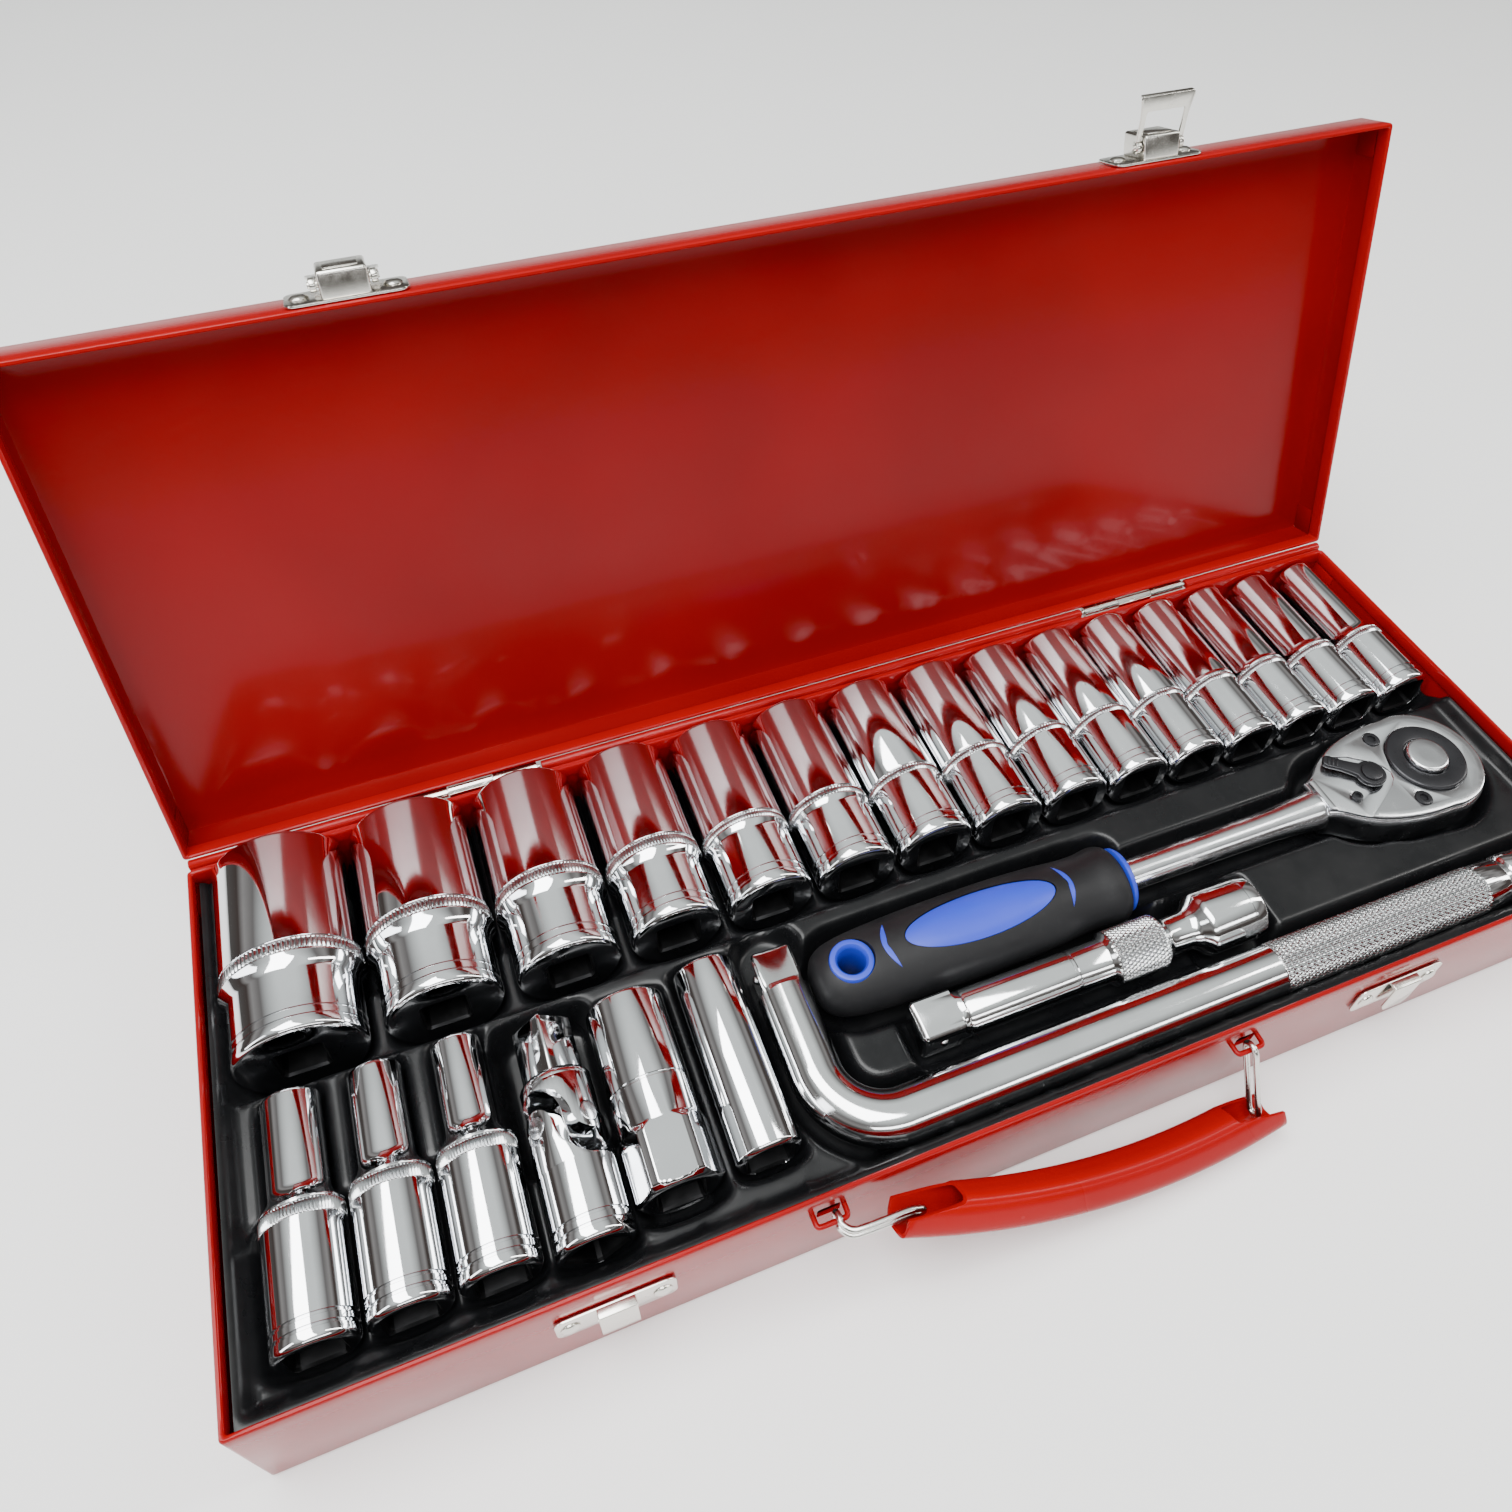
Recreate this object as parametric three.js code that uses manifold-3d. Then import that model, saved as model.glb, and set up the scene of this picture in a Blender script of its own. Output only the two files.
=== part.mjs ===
// Half-inch-drive socket wrench set in a red sheet-steel case.
// Millimetres, +Z up, origin at the middle of the case's underside, front wall (latches, handle) towards -Y.
import * as THREE from "three";
import { mergeVertices } from "three/addons/utils/BufferGeometryUtils.js";
import Module from "manifold-3d";

const wasm = await Module();
wasm.setup();

// ---- driving dimensions ----
const GAP = 0.3; // clearance between neighbouring pieces
const CASE_LENGTH = 440;
const CASE_DEPTH = 162;
const BASE_HEIGHT = 42.5;
const LID_HEIGHT = 15.2;
const WALL = 1; // painted sheet with its inner skin
const HEM = 1.6; // folded rim
const HEM_HEIGHT = 5;
const LID_OPEN = THREE.MathUtils.degToRad(105.7);

const HALF_LENGTH = CASE_LENGTH / 2;
const HALF_DEPTH = CASE_DEPTH / 2;
const LID_RIM = BASE_HEIGHT + GAP;
const LID_TOP = LID_RIM + LID_HEIGHT;

const HINGE_X = 130;
const HINGE_LENGTH = 45;
const KNUCKLE = 1.6;
const HINGE_PIN = 0.8;
const HINGE_BASE_LEAF = [27, BASE_HEIGHT + 0.6]; // bottom and top of the leaf on the base
const HINGE_LID_LEAF = [BASE_HEIGHT - 0.4, LID_TOP - 2];
const HINGE_AXIS = [HALF_DEPTH + GAP + KNUCKLE, BASE_HEIGHT + GAP / 2]; // y, z
const LEAF = 0.8;

const LATCH_X = 127;
const PLATE_HALF = 16.3;
const PLATE_SHEET = 0.8;
const PLATE_BACK = -HALF_DEPTH - GAP;
const PLATE_FRONT = PLATE_BACK - PLATE_SHEET;
const RIVET_X = 12.4; // from the middle of a latch to its rivets
const HOUSING_HALF = 6.6;
const HOUSING_FRONT = -89.6;
const LATCH_PIVOT = [-85.9, 46.5]; // y, z with the lid closed
const LEVER_LENGTH = 16;
const LEVER_SHEET = 0.8;
const LEVER_HALF = 8.8;
const LEVER_FLARE = 9.9;
const LEVER_WINDOW = [7.1, 11.2]; // half width, length
const LEVER_LEFT_OPEN = THREE.MathUtils.degToRad(185);
const LEVER_RIGHT_OPEN = THREE.MathUtils.degToRad(76);
const CATCH_LOW = 19.5;
const CATCH_HIGH = 32;
const CATCH_HALF = 5.2;
const CATCH_FRONT = -84.7;

const STAPLE_X = 67.5;
const STAPLE_Y = -84.4; // the handle swings about the staples' crowns
const STAPLE_Z = 32;
const STAPLE_WIRE = 0.8;
const STAPLE_HALF = 4.6;
const SLOT_HALF = [3.4, 2.8]; // half the length and height of the slot behind a staple
const LINK_WIRE = 0.95;
const LINK_HALF = 2.15; // half the wire loop's width, centre to centre
const LINK_HOOK = 2.05; // from the crown to the middle of the loop's end wire
const LINK_STEPS = 32;
const GRIP_LEFT = new THREE.Vector3(-43, -89.8, 30.5);
const GRIP_RIGHT = new THREE.Vector3(68.4, -95.8, 9.5);
const GRIP_OVERHANG = 7;
const GRIP_SAG = 9;
const GRIP_HALF = 6; // half the channel's width
const GRIP_SHEET = 1;
const GRIP_CORNER = 0.55; // share of a side that is flat
const GRIP_LIFT = 1.9; // keeps the bow's centre line on the ends of the wire loops

const AXIS_Z = 33; // height of every tool's centre line
const LAND_Z = 33; // tray top round the bars and the ratchet
const SHORT_LAND_Z = 29; // tray top round the short tools at the left
const BED_Z = 27; // tray top between sockets
const RIDGE_Z = 38; // top of the tray's raised border
const RIDGE_FRONT = 3;
const RIDGE_SIDE = 2.1;
const TRAY_X = HALF_LENGTH - 1.9; // half the tray's length
const TRAY_Y = HALF_DEPTH - 1.9;
const TRAY_BOTTOM = WALL + GAP;
const BED_FRONT = 5.4; // where the sockets' bed starts
const POCKET = 0.5; // room round a tool
const POCKET_END = 1.2; // room at a tool's ends
const GRIP_FLOOR = 20; // under the ratchet's handle
const DRIVE_WELL = 11; // the hole under the ratchet's drive square
const DRIVE_WELL_FLOOR = 8;
const UNDER_SOCKETS = 9.5;
const UNDER_TOOLS = 15.5;
const UNDER_EDGE = 4; // thickness of the tray's skirt

const DRIVE_SQUARE = 12.7;
const DRIVE_HOLE = 13;
const SOCKET_LENGTH = 68;
const SOCKET_BACK = 78.5;

// size, drive-end radius, hex-end radius
const DEEP_SOCKETS = [
  [32, 19.2, 21],
  [30, 17.6, 19.5],
  [27, 16.2, 17.75],
  [24, 14.9, 16],
  [22, 14.5, 15],
  [21, 13.9, 14.3],
  [20, 13.5, 13.7],
  [19, 13, 13.1],
  [18, 12.4, 12.5],
  [17, 12, 12.1],
  [16, 11.4, 11.5],
  [15, 11.2, 11],
  [14, 11, 10.3],
  [13, 11, 9.6],
  [12, 11, 9],
];
const SOCKET_SIDES = 16;
const DEEP_FIRST_X = -194.2;
const DEEP_PITCH_GAP = 0.76;
const DEEP_SHOULDER = 24;
// size, x, hex-end radius
const SMALL_SOCKETS = [
  [11, -198.8, 8.2],
  [10, -175.7, 7.7],
  [9, -152.6, 7.2],
];
const SMALL_FRONT = -67.6;
const SMALL_RADIUS = 11;
const SMALL_SHOULDER = 35;

const UJ_FLOOR = 17.5; // under the universal joint's cross
const UJ = { x: -128, front: -69.2, radius: 11, pivotY: -35.5, back: -3.2, roll: Math.PI / 4 };
const YOKE = { half: 5.2, inner: 5.6, bore: 2.4, reach: 4.6, root: 8.5 }; // arms about the pivot
const CROSS = { half: 4.8, pin: 2.1 };
const PLUG_16 = { size: 16, x: -103.2, front: -65.2, length: 59, radius: 10.8, flats: 21.6 };
const PLUG_14 = { size: 14, x: -77.4, front: -63.4, length: 60, radius: 9.8, flats: 0 };
const BAR = { x: -56.8, y: -65.6, radius: 8.1, bend: 20, squareBack: -6.3, end: 209.8, knurlEnd: 179 };
const EXTENSION = { y: -44.2, left: -24.6, right: 96.2, shaft: 7, collar: 8.6, neck: 6, socket: 10.2 };
const HEAD = new THREE.Vector3(186.6, -19.4, AXIS_Z); // on the drive's axis
const HEAD_RADIUS = 20.8;
// the head narrows to its neck: distance from the drive's axis, half width
const HEAD_SIDE = [
  [-12, 20.3],
  [-21.5, 18.9],
  [-30, 16.4],
  [-36.5, 12.9],
  [-42, 8.8],
  [-46.5, 7],
];
const HEAD_ROOM = 1.8; // room round the head in its pocket
const HEAD_BOTTOM = 24.5;
const HEAD_TOP = 38.5;
const COVER_TOP = 40;
const COVER_INSET = 0.9;
const RING_BOTTOM = 36.3;
const RING_TOP = 41.2;
const RING_RADIUS = 13.8;
const BUTTON_BOTTOM = 36.8;
const BUTTON_TOP = 42.7;
const BUTTON_RADIUS = 7.2;
const BUTTON_WELL = 33; // how far down the button's hole reaches
const SPINDLE_RADIUS = 9.2;
const SPINDLE = [23.5, 35.7];
const SQUARE_BOTTOM = 9.5;
const SCREW_LIFT = 0.4; // the cover's screws stand this far above it
const LEVER_PIVOT = [-24.4, 0.5];
const LEVER_REST = THREE.MathUtils.degToRad(139);
const REVERSE_LEVER = { length: 16.3, thickness: 2.7, hub: 5.2, tip: 2.2 };
// x, y, radius
const COVER_SCREWS = [
  [-12.6, 13.5, 2],
  [-12.6, -13.5, 2],
  [-33.6, -4.8, 1.3],
];
const SHAFT_RADIUS = 5.1;
const NECK_RADIUS = 6.6;
const NECK_LENGTH = 30; // where the shaft swells towards the head
const GRIP_Y = -20.6;
const GRIP_END = 59.8; // right end of the ratchet's rubber grip
const EYELET = { x: -35.2, outer: 7, inner: 4.4 };
const INLAY = { x: 8.7, halfLength: 26, halfWidth: 7.7, floor: 41 };

// ---- materials ----
const material = (color, roughness, metalness) =>
  new THREE.MeshStandardMaterial({ color, roughness, metalness });
const redPaint = () => material(0xb30b10, 0.3, 0.1);
const nickel = () => material(0xb9b6ae, 0.3, 0.9);
const chrome = () => material(0xd5d8da, 0.08, 1);
const satinChrome = () => material(0xc2c5c8, 0.25, 1);
const blackTray = () => material(0x0b0c0e, 0.35, 0);
const blackSteel = () => material(0x15161a, 0.4, 0.4);
const rubber = () => material(0x17181b, 0.7, 0);
const bluePlastic = () => material(0x2f43c4, 0.4, 0);

// ---- solids ----
function solid(geometry) {
  const bare = geometry.clone();
  bare.deleteAttribute("normal");
  bare.deleteAttribute("uv");
  const merged = mergeVertices(bare, 1e-4);
  const kept = [];
  const index = merged.index.array;
  for (let i = 0; i < index.length; i += 3) {
    const [a, b, c] = index.slice(i, i + 3);
    if (a !== b && b !== c && c !== a) kept.push(a, b, c);
  }
  return new wasm.Manifold(
    new wasm.Mesh({
      numProp: 3,
      vertProperties: merged.attributes.position.array,
      triVerts: new Uint32Array(kept),
    }),
  );
}

const join = (...parts) => parts.reduce((whole, part) => whole.add(part));
const cut = (whole, ...parts) => parts.reduce((left, part) => left.subtract(part), whole);

function box(low, high) {
  const size = low.map((v, i) => high[i] - v);
  const middle = low.map((v, i) => (high[i] + v) / 2);
  return solid(new THREE.BoxGeometry(...size).translate(...middle));
}

// A cylinder or cone along an axis, from one coordinate to the next; centre gives the other two coordinates.
function rod(axis, radius, centre, from, to, sides = 20, endRadius = radius, turn = 0) {
  const g = new THREE.CylinderGeometry(endRadius, radius, to - from, sides).rotateY(turn);
  g.translate(0, (from + to) / 2, 0);
  if (axis === "x") g.rotateZ(-Math.PI / 2).translate(0, centre[0], centre[1]);
  if (axis === "y") g.translate(centre[0], 0, centre[1]);
  if (axis === "z") g.rotateX(Math.PI / 2).translate(centre[0], centre[1], 0);
  return solid(g);
}

// A profile of [radius, y] points turned about Y.
const turned = (profile, sides) =>
  solid(new THREE.LatheGeometry(profile.map(([r, y]) => new THREE.Vector2(r, y)), sides));

// A flat outline pulled up from one height to another.
function plate(shape, low, high, curveSegments = 16) {
  const g = new THREE.ExtrudeGeometry(shape, { depth: high - low, bevelEnabled: false, curveSegments });
  return solid(g.translate(0, 0, low));
}

function outline(points) {
  return new THREE.Shape(points.map(([x, y]) => new THREE.Vector2(x, y)));
}

function roundSection(radius, sides) {
  const points = Array.from({ length: sides }, (_, i) => {
    const a = (2 * Math.PI * i) / sides;
    return new THREE.Vector2(radius * Math.cos(a), radius * Math.sin(a));
  });
  return new THREE.Shape(points);
}

function sweep(section, curve, steps) {
  return solid(new THREE.ExtrudeGeometry(section, { steps, bevelEnabled: false, extrudePath: curve }));
}

function mesh(name, made, look, group, position = [0, 0, 0]) {
  const data = made.getMesh();
  const g = new THREE.BufferGeometry();
  g.setAttribute("position", new THREE.BufferAttribute(new Float32Array(data.vertProperties), 3));
  g.setIndex(new THREE.BufferAttribute(new Uint32Array(data.triVerts), 1));
  g.computeVertexNormals();
  const m = new THREE.Mesh(g, look);
  m.name = name;
  m.position.set(...position);
  group.add(m);
  return m;
}

const bothSides = [
  ["left", -1],
  ["right", 1],
];

// ---- case ----
// An open tray of sheet with a folded rim: from the closed face at `floor` to the rim at `rim`.
function sheetTray(floor, rim) {
  const up = Math.sign(rim - floor);
  const hem = rim - up * HEM_HEIGHT;
  const span = (a, b) => [Math.min(a, b), Math.max(a, b)];
  const room = (inset, a, b) => {
    const [low, high] = span(a, b);
    return box(
      [-HALF_LENGTH + inset, -HALF_DEPTH + inset, low],
      [HALF_LENGTH - inset, HALF_DEPTH - inset, high],
    );
  };
  const [low, high] = span(floor, rim);
  const outer = box([-HALF_LENGTH, -HALF_DEPTH, low], [HALF_LENGTH, HALF_DEPTH, high]);
  return cut(outer, room(WALL, floor + up * WALL, hem), room(HEM, hem - up * 0.01, rim + up));
}

// A wire staple that carries one end of the handle, over a slot in the front wall.
function staple(x) {
  const leg = (s) => rod("y", STAPLE_WIRE, [x + s * STAPLE_HALF, STAPLE_Z], STAPLE_Y, -HALF_DEPTH + 0.5, 8);
  const reach = STAPLE_HALF + STAPLE_WIRE;
  return join(rod("x", STAPLE_WIRE, [STAPLE_Y, STAPLE_Z], x - reach, x + reach, 8), leg(-1), leg(1));
}

// The back wall's edge is rolled on the hinge line, except where the two hinges are.
function rolledEdge() {
  const [y, z] = HINGE_AXIS;
  const hingeEnd = HINGE_LENGTH / 2 + 1.5;
  const spans = [
    [-HALF_LENGTH + 1, -HINGE_X - hingeEnd],
    [-HINGE_X + hingeEnd, HINGE_X - hingeEnd],
    [HINGE_X + hingeEnd, HALF_LENGTH - 1],
  ];
  return spans.flatMap(([from, to]) => [
    rod("x", KNUCKLE, HINGE_AXIS, from, to, 12),
    box([from, HALF_DEPTH - 0.5, z - KNUCKLE], [to, y, BASE_HEIGHT - 0.2]),
  ]);
}

function caseBase() {
  const [slotX, slotZ] = SLOT_HALF;
  const slot = (x) =>
    box([x - slotX, -HALF_DEPTH - 1, STAPLE_Z - slotZ], [x + slotX, -HALF_DEPTH + 3, STAPLE_Z + slotZ]);
  const shell = cut(sheetTray(0, BASE_HEIGHT), ...bothSides.map(([, s]) => slot(s * STAPLE_X)));
  return join(shell, ...bothSides.map(([, s]) => staple(s * STAPLE_X)), ...rolledEdge());
}

// One half of a hinge: a plate against the back wall with its share of the knuckles.
// The base's half holds the pin, and the lid's half turns on it.
function hingeLeaf(x, [low, high], knuckles, holdsPin) {
  const [y, z] = HINGE_AXIS;
  const wallSide = HALF_DEPTH + GAP;
  const leaf = box([x - HINGE_LENGTH / 2, wallSide, low], [x + HINGE_LENGTH / 2, wallSide + LEAF, high]);
  const third = HINGE_LENGTH / 3;
  const cuts = [];
  const tubes = [];
  for (let i = 0; i < 3; i++) {
    const from = x - HINGE_LENGTH / 2 + i * third;
    const mine = knuckles.includes(i);
    if (mine) tubes.push(rod("x", KNUCKLE, [y, z], from + GAP / 2, from + third - GAP / 2, 12));
    else cuts.push(rod("x", KNUCKLE + GAP, [y, z], from - GAP / 2, from + third + GAP / 2, 12));
  }
  const pin = (radius, half) => rod("x", radius, [y, z], x - half, x + half, 12);
  const made = cut(join(leaf, ...tubes), ...cuts);
  if (holdsPin) return join(made, pin(HINGE_PIN, HINGE_LENGTH / 2 + 1));
  return cut(made, pin(HINGE_PIN + 0.15, HINGE_LENGTH));
}

// ---- latches ----
function rivetHead(x, z) {
  return rod("y", 2, [x, z], PLATE_FRONT - 1.1, PLATE_FRONT + 0.2, 12, 2.7);
}

function latchPlate(x) {
  const [pivotY, pivotZ] = LATCH_PIVOT;
  const low = LID_RIM + 0.8;
  const high = LID_RIM + 13.8;
  const back = box([x - PLATE_HALF, PLATE_FRONT, low], [x + PLATE_HALF, PLATE_BACK, high]);
  const inner = HOUSING_HALF - PLATE_SHEET;
  const housing = cut(
    box([x - HOUSING_HALF, HOUSING_FRONT, low], [x + HOUSING_HALF, PLATE_FRONT + 0.1, high - 0.6]),
    box([x - inner, HOUSING_FRONT + PLATE_SHEET, low - 1], [x + inner, PLATE_FRONT, high - 0.6 - PLATE_SHEET]),
  );
  const stub = (s) => {
    const [from, to] = s < 0 ? [-LEVER_HALF - 0.4, -HOUSING_HALF + 0.1] : [HOUSING_HALF - 0.1, LEVER_HALF + 0.4];
    return rod("x", 0.9, [pivotY, pivotZ], x + from, x + to, 10);
  };
  const rivets = bothSides.map(([, s]) => rivetHead(x + s * RIVET_X, LID_RIM + 7.3));
  return join(back, housing, stub(-1), stub(1), ...rivets);
}

// A flat outline stood up in the X-Z plane, with its back face at y.
function upright(shape, y, thickness) {
  const g = new THREE.ExtrudeGeometry(shape, { depth: thickness, bevelEnabled: false, curveSegments: 10 });
  return solid(g.rotateX(Math.PI / 2).translate(0, y, 0));
}

// The flared finger lever, hanging straight down from its pivot at the origin.
function latchLever() {
  const [windowHalf, windowLength] = LEVER_WINDOW;
  const frame = outline([
    [-LEVER_HALF, 0],
    [-LEVER_HALF, -9],
    [-LEVER_FLARE, -LEVER_LENGTH],
    [LEVER_FLARE, -LEVER_LENGTH],
    [LEVER_HALF, -9],
    [LEVER_HALF, 0],
    [windowHalf, 0],
    [windowHalf, -windowLength],
    [-windowHalf, -windowLength],
    [-windowHalf, 0],
  ]);
  const half = LEVER_SHEET / 2;
  const eyeX = (LEVER_HALF + windowHalf) / 2;
  const eye = (s, radius, reach) => rod("x", radius, [0, 0], s * eyeX - reach, s * eyeX + reach, 12);
  const eyes = bothSides.map(([, s]) => eye(s, 1.9, LEVER_HALF - eyeX));
  const holes = bothSides.map(([, s]) => eye(s, 1.2, 2));
  const lip = box(
    [-LEVER_FLARE + GAP, -1.6, -LEVER_LENGTH],
    [LEVER_FLARE - GAP, 0, -LEVER_LENGTH + LEVER_SHEET],
  );
  return cut(join(upright(frame, half, LEVER_SHEET), lip, ...eyes), ...holes);
}

function catchPlate(x) {
  const back = box([x - PLATE_HALF, PLATE_FRONT, CATCH_LOW], [x + PLATE_HALF, PLATE_BACK, CATCH_HIGH]);
  const tab = (frontY, backY, from) =>
    box([x - CATCH_HALF, frontY, from], [x + CATCH_HALF, backY, CATCH_HIGH]);
  const rivets = bothSides.map(([, s]) => rivetHead(x + s * RIVET_X, (CATCH_LOW + CATCH_HIGH) / 2));
  return join(
    back,
    tab(CATCH_FRONT, PLATE_FRONT + 0.1, CATCH_HIGH - PLATE_SHEET),
    tab(CATCH_FRONT, CATCH_FRONT + PLATE_SHEET, CATCH_LOW - 2.1),
    ...rivets,
  );
}

// ---- carrying handle ----
// A closed wire loop: a leg on either side of the path, joined by a half circle at each end.
function wireLoop(path, side) {
  const roundEnd = (tip, next, turn) => {
    const inward = next.clone().sub(tip).normalize();
    const centre = tip.clone().addScaledVector(inward, LINK_HALF);
    return [-90, -45, 0, 45, 90].map((degrees) => {
      const a = THREE.MathUtils.degToRad(degrees);
      const out = centre.clone().addScaledVector(inward, -LINK_HALF * Math.cos(a));
      return out.addScaledVector(side, turn * LINK_HALF * Math.sin(a));
    });
  };
  const leg = (s) => path.slice(1, -1).map((p) => p.clone().addScaledVector(side, s * LINK_HALF));
  const points = [
    ...roundEnd(path[0], path[1], 1),
    ...leg(1),
    ...roundEnd(path.at(-1), path.at(-2), -1),
    ...leg(-1).reverse(),
  ];
  const curve = new THREE.CatmullRomCurve3(points, true, "centripetal");
  return solid(new THREE.TubeGeometry(curve, LINK_STEPS, LINK_WIRE, 6, true));
}

// The grip: a bowed sheet-steel channel, closed along its middle and open at both ends.
function gripBow() {
  const along = GRIP_RIGHT.clone().sub(GRIP_LEFT).normalize();
  const lift = new THREE.Vector3(0, 0.6, 0.8);
  const end = (at, s) => at.clone().addScaledVector(along, s * GRIP_OVERHANG).addScaledVector(lift, GRIP_LIFT);
  const left = end(GRIP_LEFT, -1);
  const right = end(GRIP_RIGHT, 1);
  const sag = lift.clone().multiplyScalar(-2 * GRIP_SAG);
  const middle = left.clone().add(right).multiplyScalar(0.5).add(sag);
  const bow = (grow) =>
    new THREE.QuadraticBezierCurve3(
      left.clone().addScaledVector(along, -grow),
      middle,
      right.clone().addScaledVector(along, grow),
    );
  const section = (half) => {
    const flat = half * GRIP_CORNER;
    return outline([
      [-half, -flat],
      [-flat, -half],
      [flat, -half],
      [half, -flat],
      [half, flat],
      [flat, half],
      [-flat, half],
      [-half, flat],
    ]);
  };
  const tube = cut(sweep(section(GRIP_HALF), bow(0), 10), sweep(section(GRIP_HALF - GRIP_SHEET), bow(1), 10));
  // both ends are open on the side that faces the case's rim, where the wire loops come in
  const mouth = (at, dir) => {
    const g = new THREE.BoxGeometry(20, 14, 14).translate(dir, 0, 0);
    const frame = new THREE.Matrix4();
    const y = new THREE.Vector3().crossVectors(lift, along).normalize();
    frame.makeBasis(along, y, new THREE.Vector3().crossVectors(along, y).normalize());
    g.translate(0, 0, 9.2).applyMatrix4(frame).translate(at.x, at.y, at.z);
    return solid(g);
  };
  return cut(tube, mouth(GRIP_LEFT, 1), mouth(GRIP_RIGHT, -1));
}

// ---- sockets: drive end at y = 0, hex end at y = length ----
// What is cut out of a socket: the square for the drive, a round relief bore, and the hexagon.
function socketBore(size, length, driveRadius) {
  const squareDepth = 18;
  const hexDepth = 26;
  const relief = Math.min(size / 2, driveRadius - 2.5);
  return [
    rod("y", DRIVE_HOLE / Math.SQRT2, [0, 0], -1, squareDepth, 4, undefined, Math.PI / 4),
    rod("y", relief, [0, 0], squareDepth - 0.5, length - hexDepth + 0.5, 10),
    rod("y", (size + 0.2) / Math.sqrt(3), [0, 0], length - hexDepth, length + 1, 6),
  ];
}

// How far along the socket the cove between its two radii reaches.
const coveLength = (driveRadius, hexRadius) => Math.max(1, 1.5 * Math.abs(hexRadius - driveRadius));

function socket(size, length, driveRadius, hexRadius, shoulder) {
  const profile = [
    [0, 0],
    [driveRadius - 1, 0],
    [driveRadius, 1.2],
    [driveRadius, shoulder - coveLength(driveRadius, hexRadius)],
    [hexRadius, shoulder],
    [hexRadius, length - 1],
    [hexRadius - 0.8, length],
    [0, length],
  ];
  return cut(turned(profile, SOCKET_SIDES), ...socketBore(size, length, driveRadius));
}

// A plain long tube; the hex-sided kind has spanner flats round its drive end.
function plugSocket({ size, length, radius, flats }) {
  const body = socket(size, length, radius, radius, 22);
  if (!flats) return body;
  const hex = rod("y", flats / Math.sqrt(3), [0, 0], 1.5, 19, 6, undefined, Math.PI / 6);
  return join(body, cut(hex, ...socketBore(size, length, radius)));
}

// ---- universal joint: turned about its own axis Y, pivot at the origin ----
function jointYoke(backY, radius, armFrom, tip, armAxis) {
  const { half: width, inner } = YOKE;
  const arms = [-1, 1].map((s) => {
    const low = s < 0 ? -radius : inner;
    const high = s < 0 ? -inner : radius;
    const lowY = Math.min(armFrom, tip);
    const highY = Math.max(armFrom, tip);
    const slab =
      armAxis === "x"
        ? box([low, lowY, -width], [high, highY, width])
        : box([-width, lowY, low], [width, highY, high]);
    return slab.intersect(rod("y", radius, [0, 0], lowY - 1, highY + 1, 20));
  });
  const collar = rod("y", radius, [0, 0], Math.min(backY, armFrom), Math.max(backY, armFrom), 20);
  const bore = rod(armAxis, YOKE.bore, [0, 0], -20, 20, 12);
  return cut(join(collar, ...arms), bore);
}

function ujSocketYoke() {
  const back = UJ.front - UJ.pivotY;
  const yoke = jointYoke(back, UJ.radius, -YOKE.root, YOKE.reach, "x");
  return cut(yoke, rod("y", DRIVE_HOLE / Math.SQRT2, [0, 0], back - 1, back + 14, 4, undefined, Math.PI / 4));
}

function ujPlugYoke() {
  const end = UJ.back - UJ.pivotY;
  const yoke = jointYoke(14, UJ.radius - 0.8, YOKE.root, -YOKE.reach, "z");
  const plug = rod("y", DRIVE_SQUARE / Math.SQRT2, [0, 0], 13.9, end, 4, undefined, Math.PI / 4);
  return join(yoke, plug);
}

function ujCross() {
  const { half, pin: radius } = CROSS;
  const block = box([-half, -half, -half], [half, half, half]);
  const pin = (axis, reach) => rod(axis, radius, [0, 0], -reach, reach, 12);
  return join(block, pin("x", UJ.radius - GAP), pin("z", UJ.radius - 1));
}

// ---- drive tools ----
const ballPit = (x, y, z) => solid(new THREE.SphereGeometry(2.3, 8, 6).translate(x, y, z));
const detentBall = () => solid(new THREE.SphereGeometry(1.9, 8, 6));

function lBar() {
  const { x, y, radius, bend, squareBack, end, knurlEnd } = BAR;
  const half = DRIVE_SQUARE / 2;
  const squareFront = squareBack - 12;
  const bendCentre = [x + bend, y + bend];
  const arc = new THREE.CatmullRomCurve3(
    Array.from({ length: 9 }, (_, i) => {
      const a = Math.PI + (i / 8) * (Math.PI / 2);
      return new THREE.Vector3(bendCentre[0] + bend * Math.cos(a), bendCentre[1] + bend * Math.sin(a), 0);
    }),
  );
  const bar = join(
    rod("y", radius, [x, 0], bendCentre[1] - 0.5, squareFront, 14),
    rod("x", radius, [y, 0], bendCentre[0] - 0.5, knurlEnd, 14),
    sweep(roundSection(radius, 14), arc, 6),
    box([x - half, squareFront - 0.1, -half], [x + half, squareBack, half]),
    rod("x", radius, [y, 0], knurlEnd - 0.1, knurlEnd + 10, 14, radius - 2.2),
    box([knurlEnd + 8, y - half, -half], [end, y + half, half]),
  );
  return cut(bar, ballPit(x - half + 1, squareBack - 6, 0));
}

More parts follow.
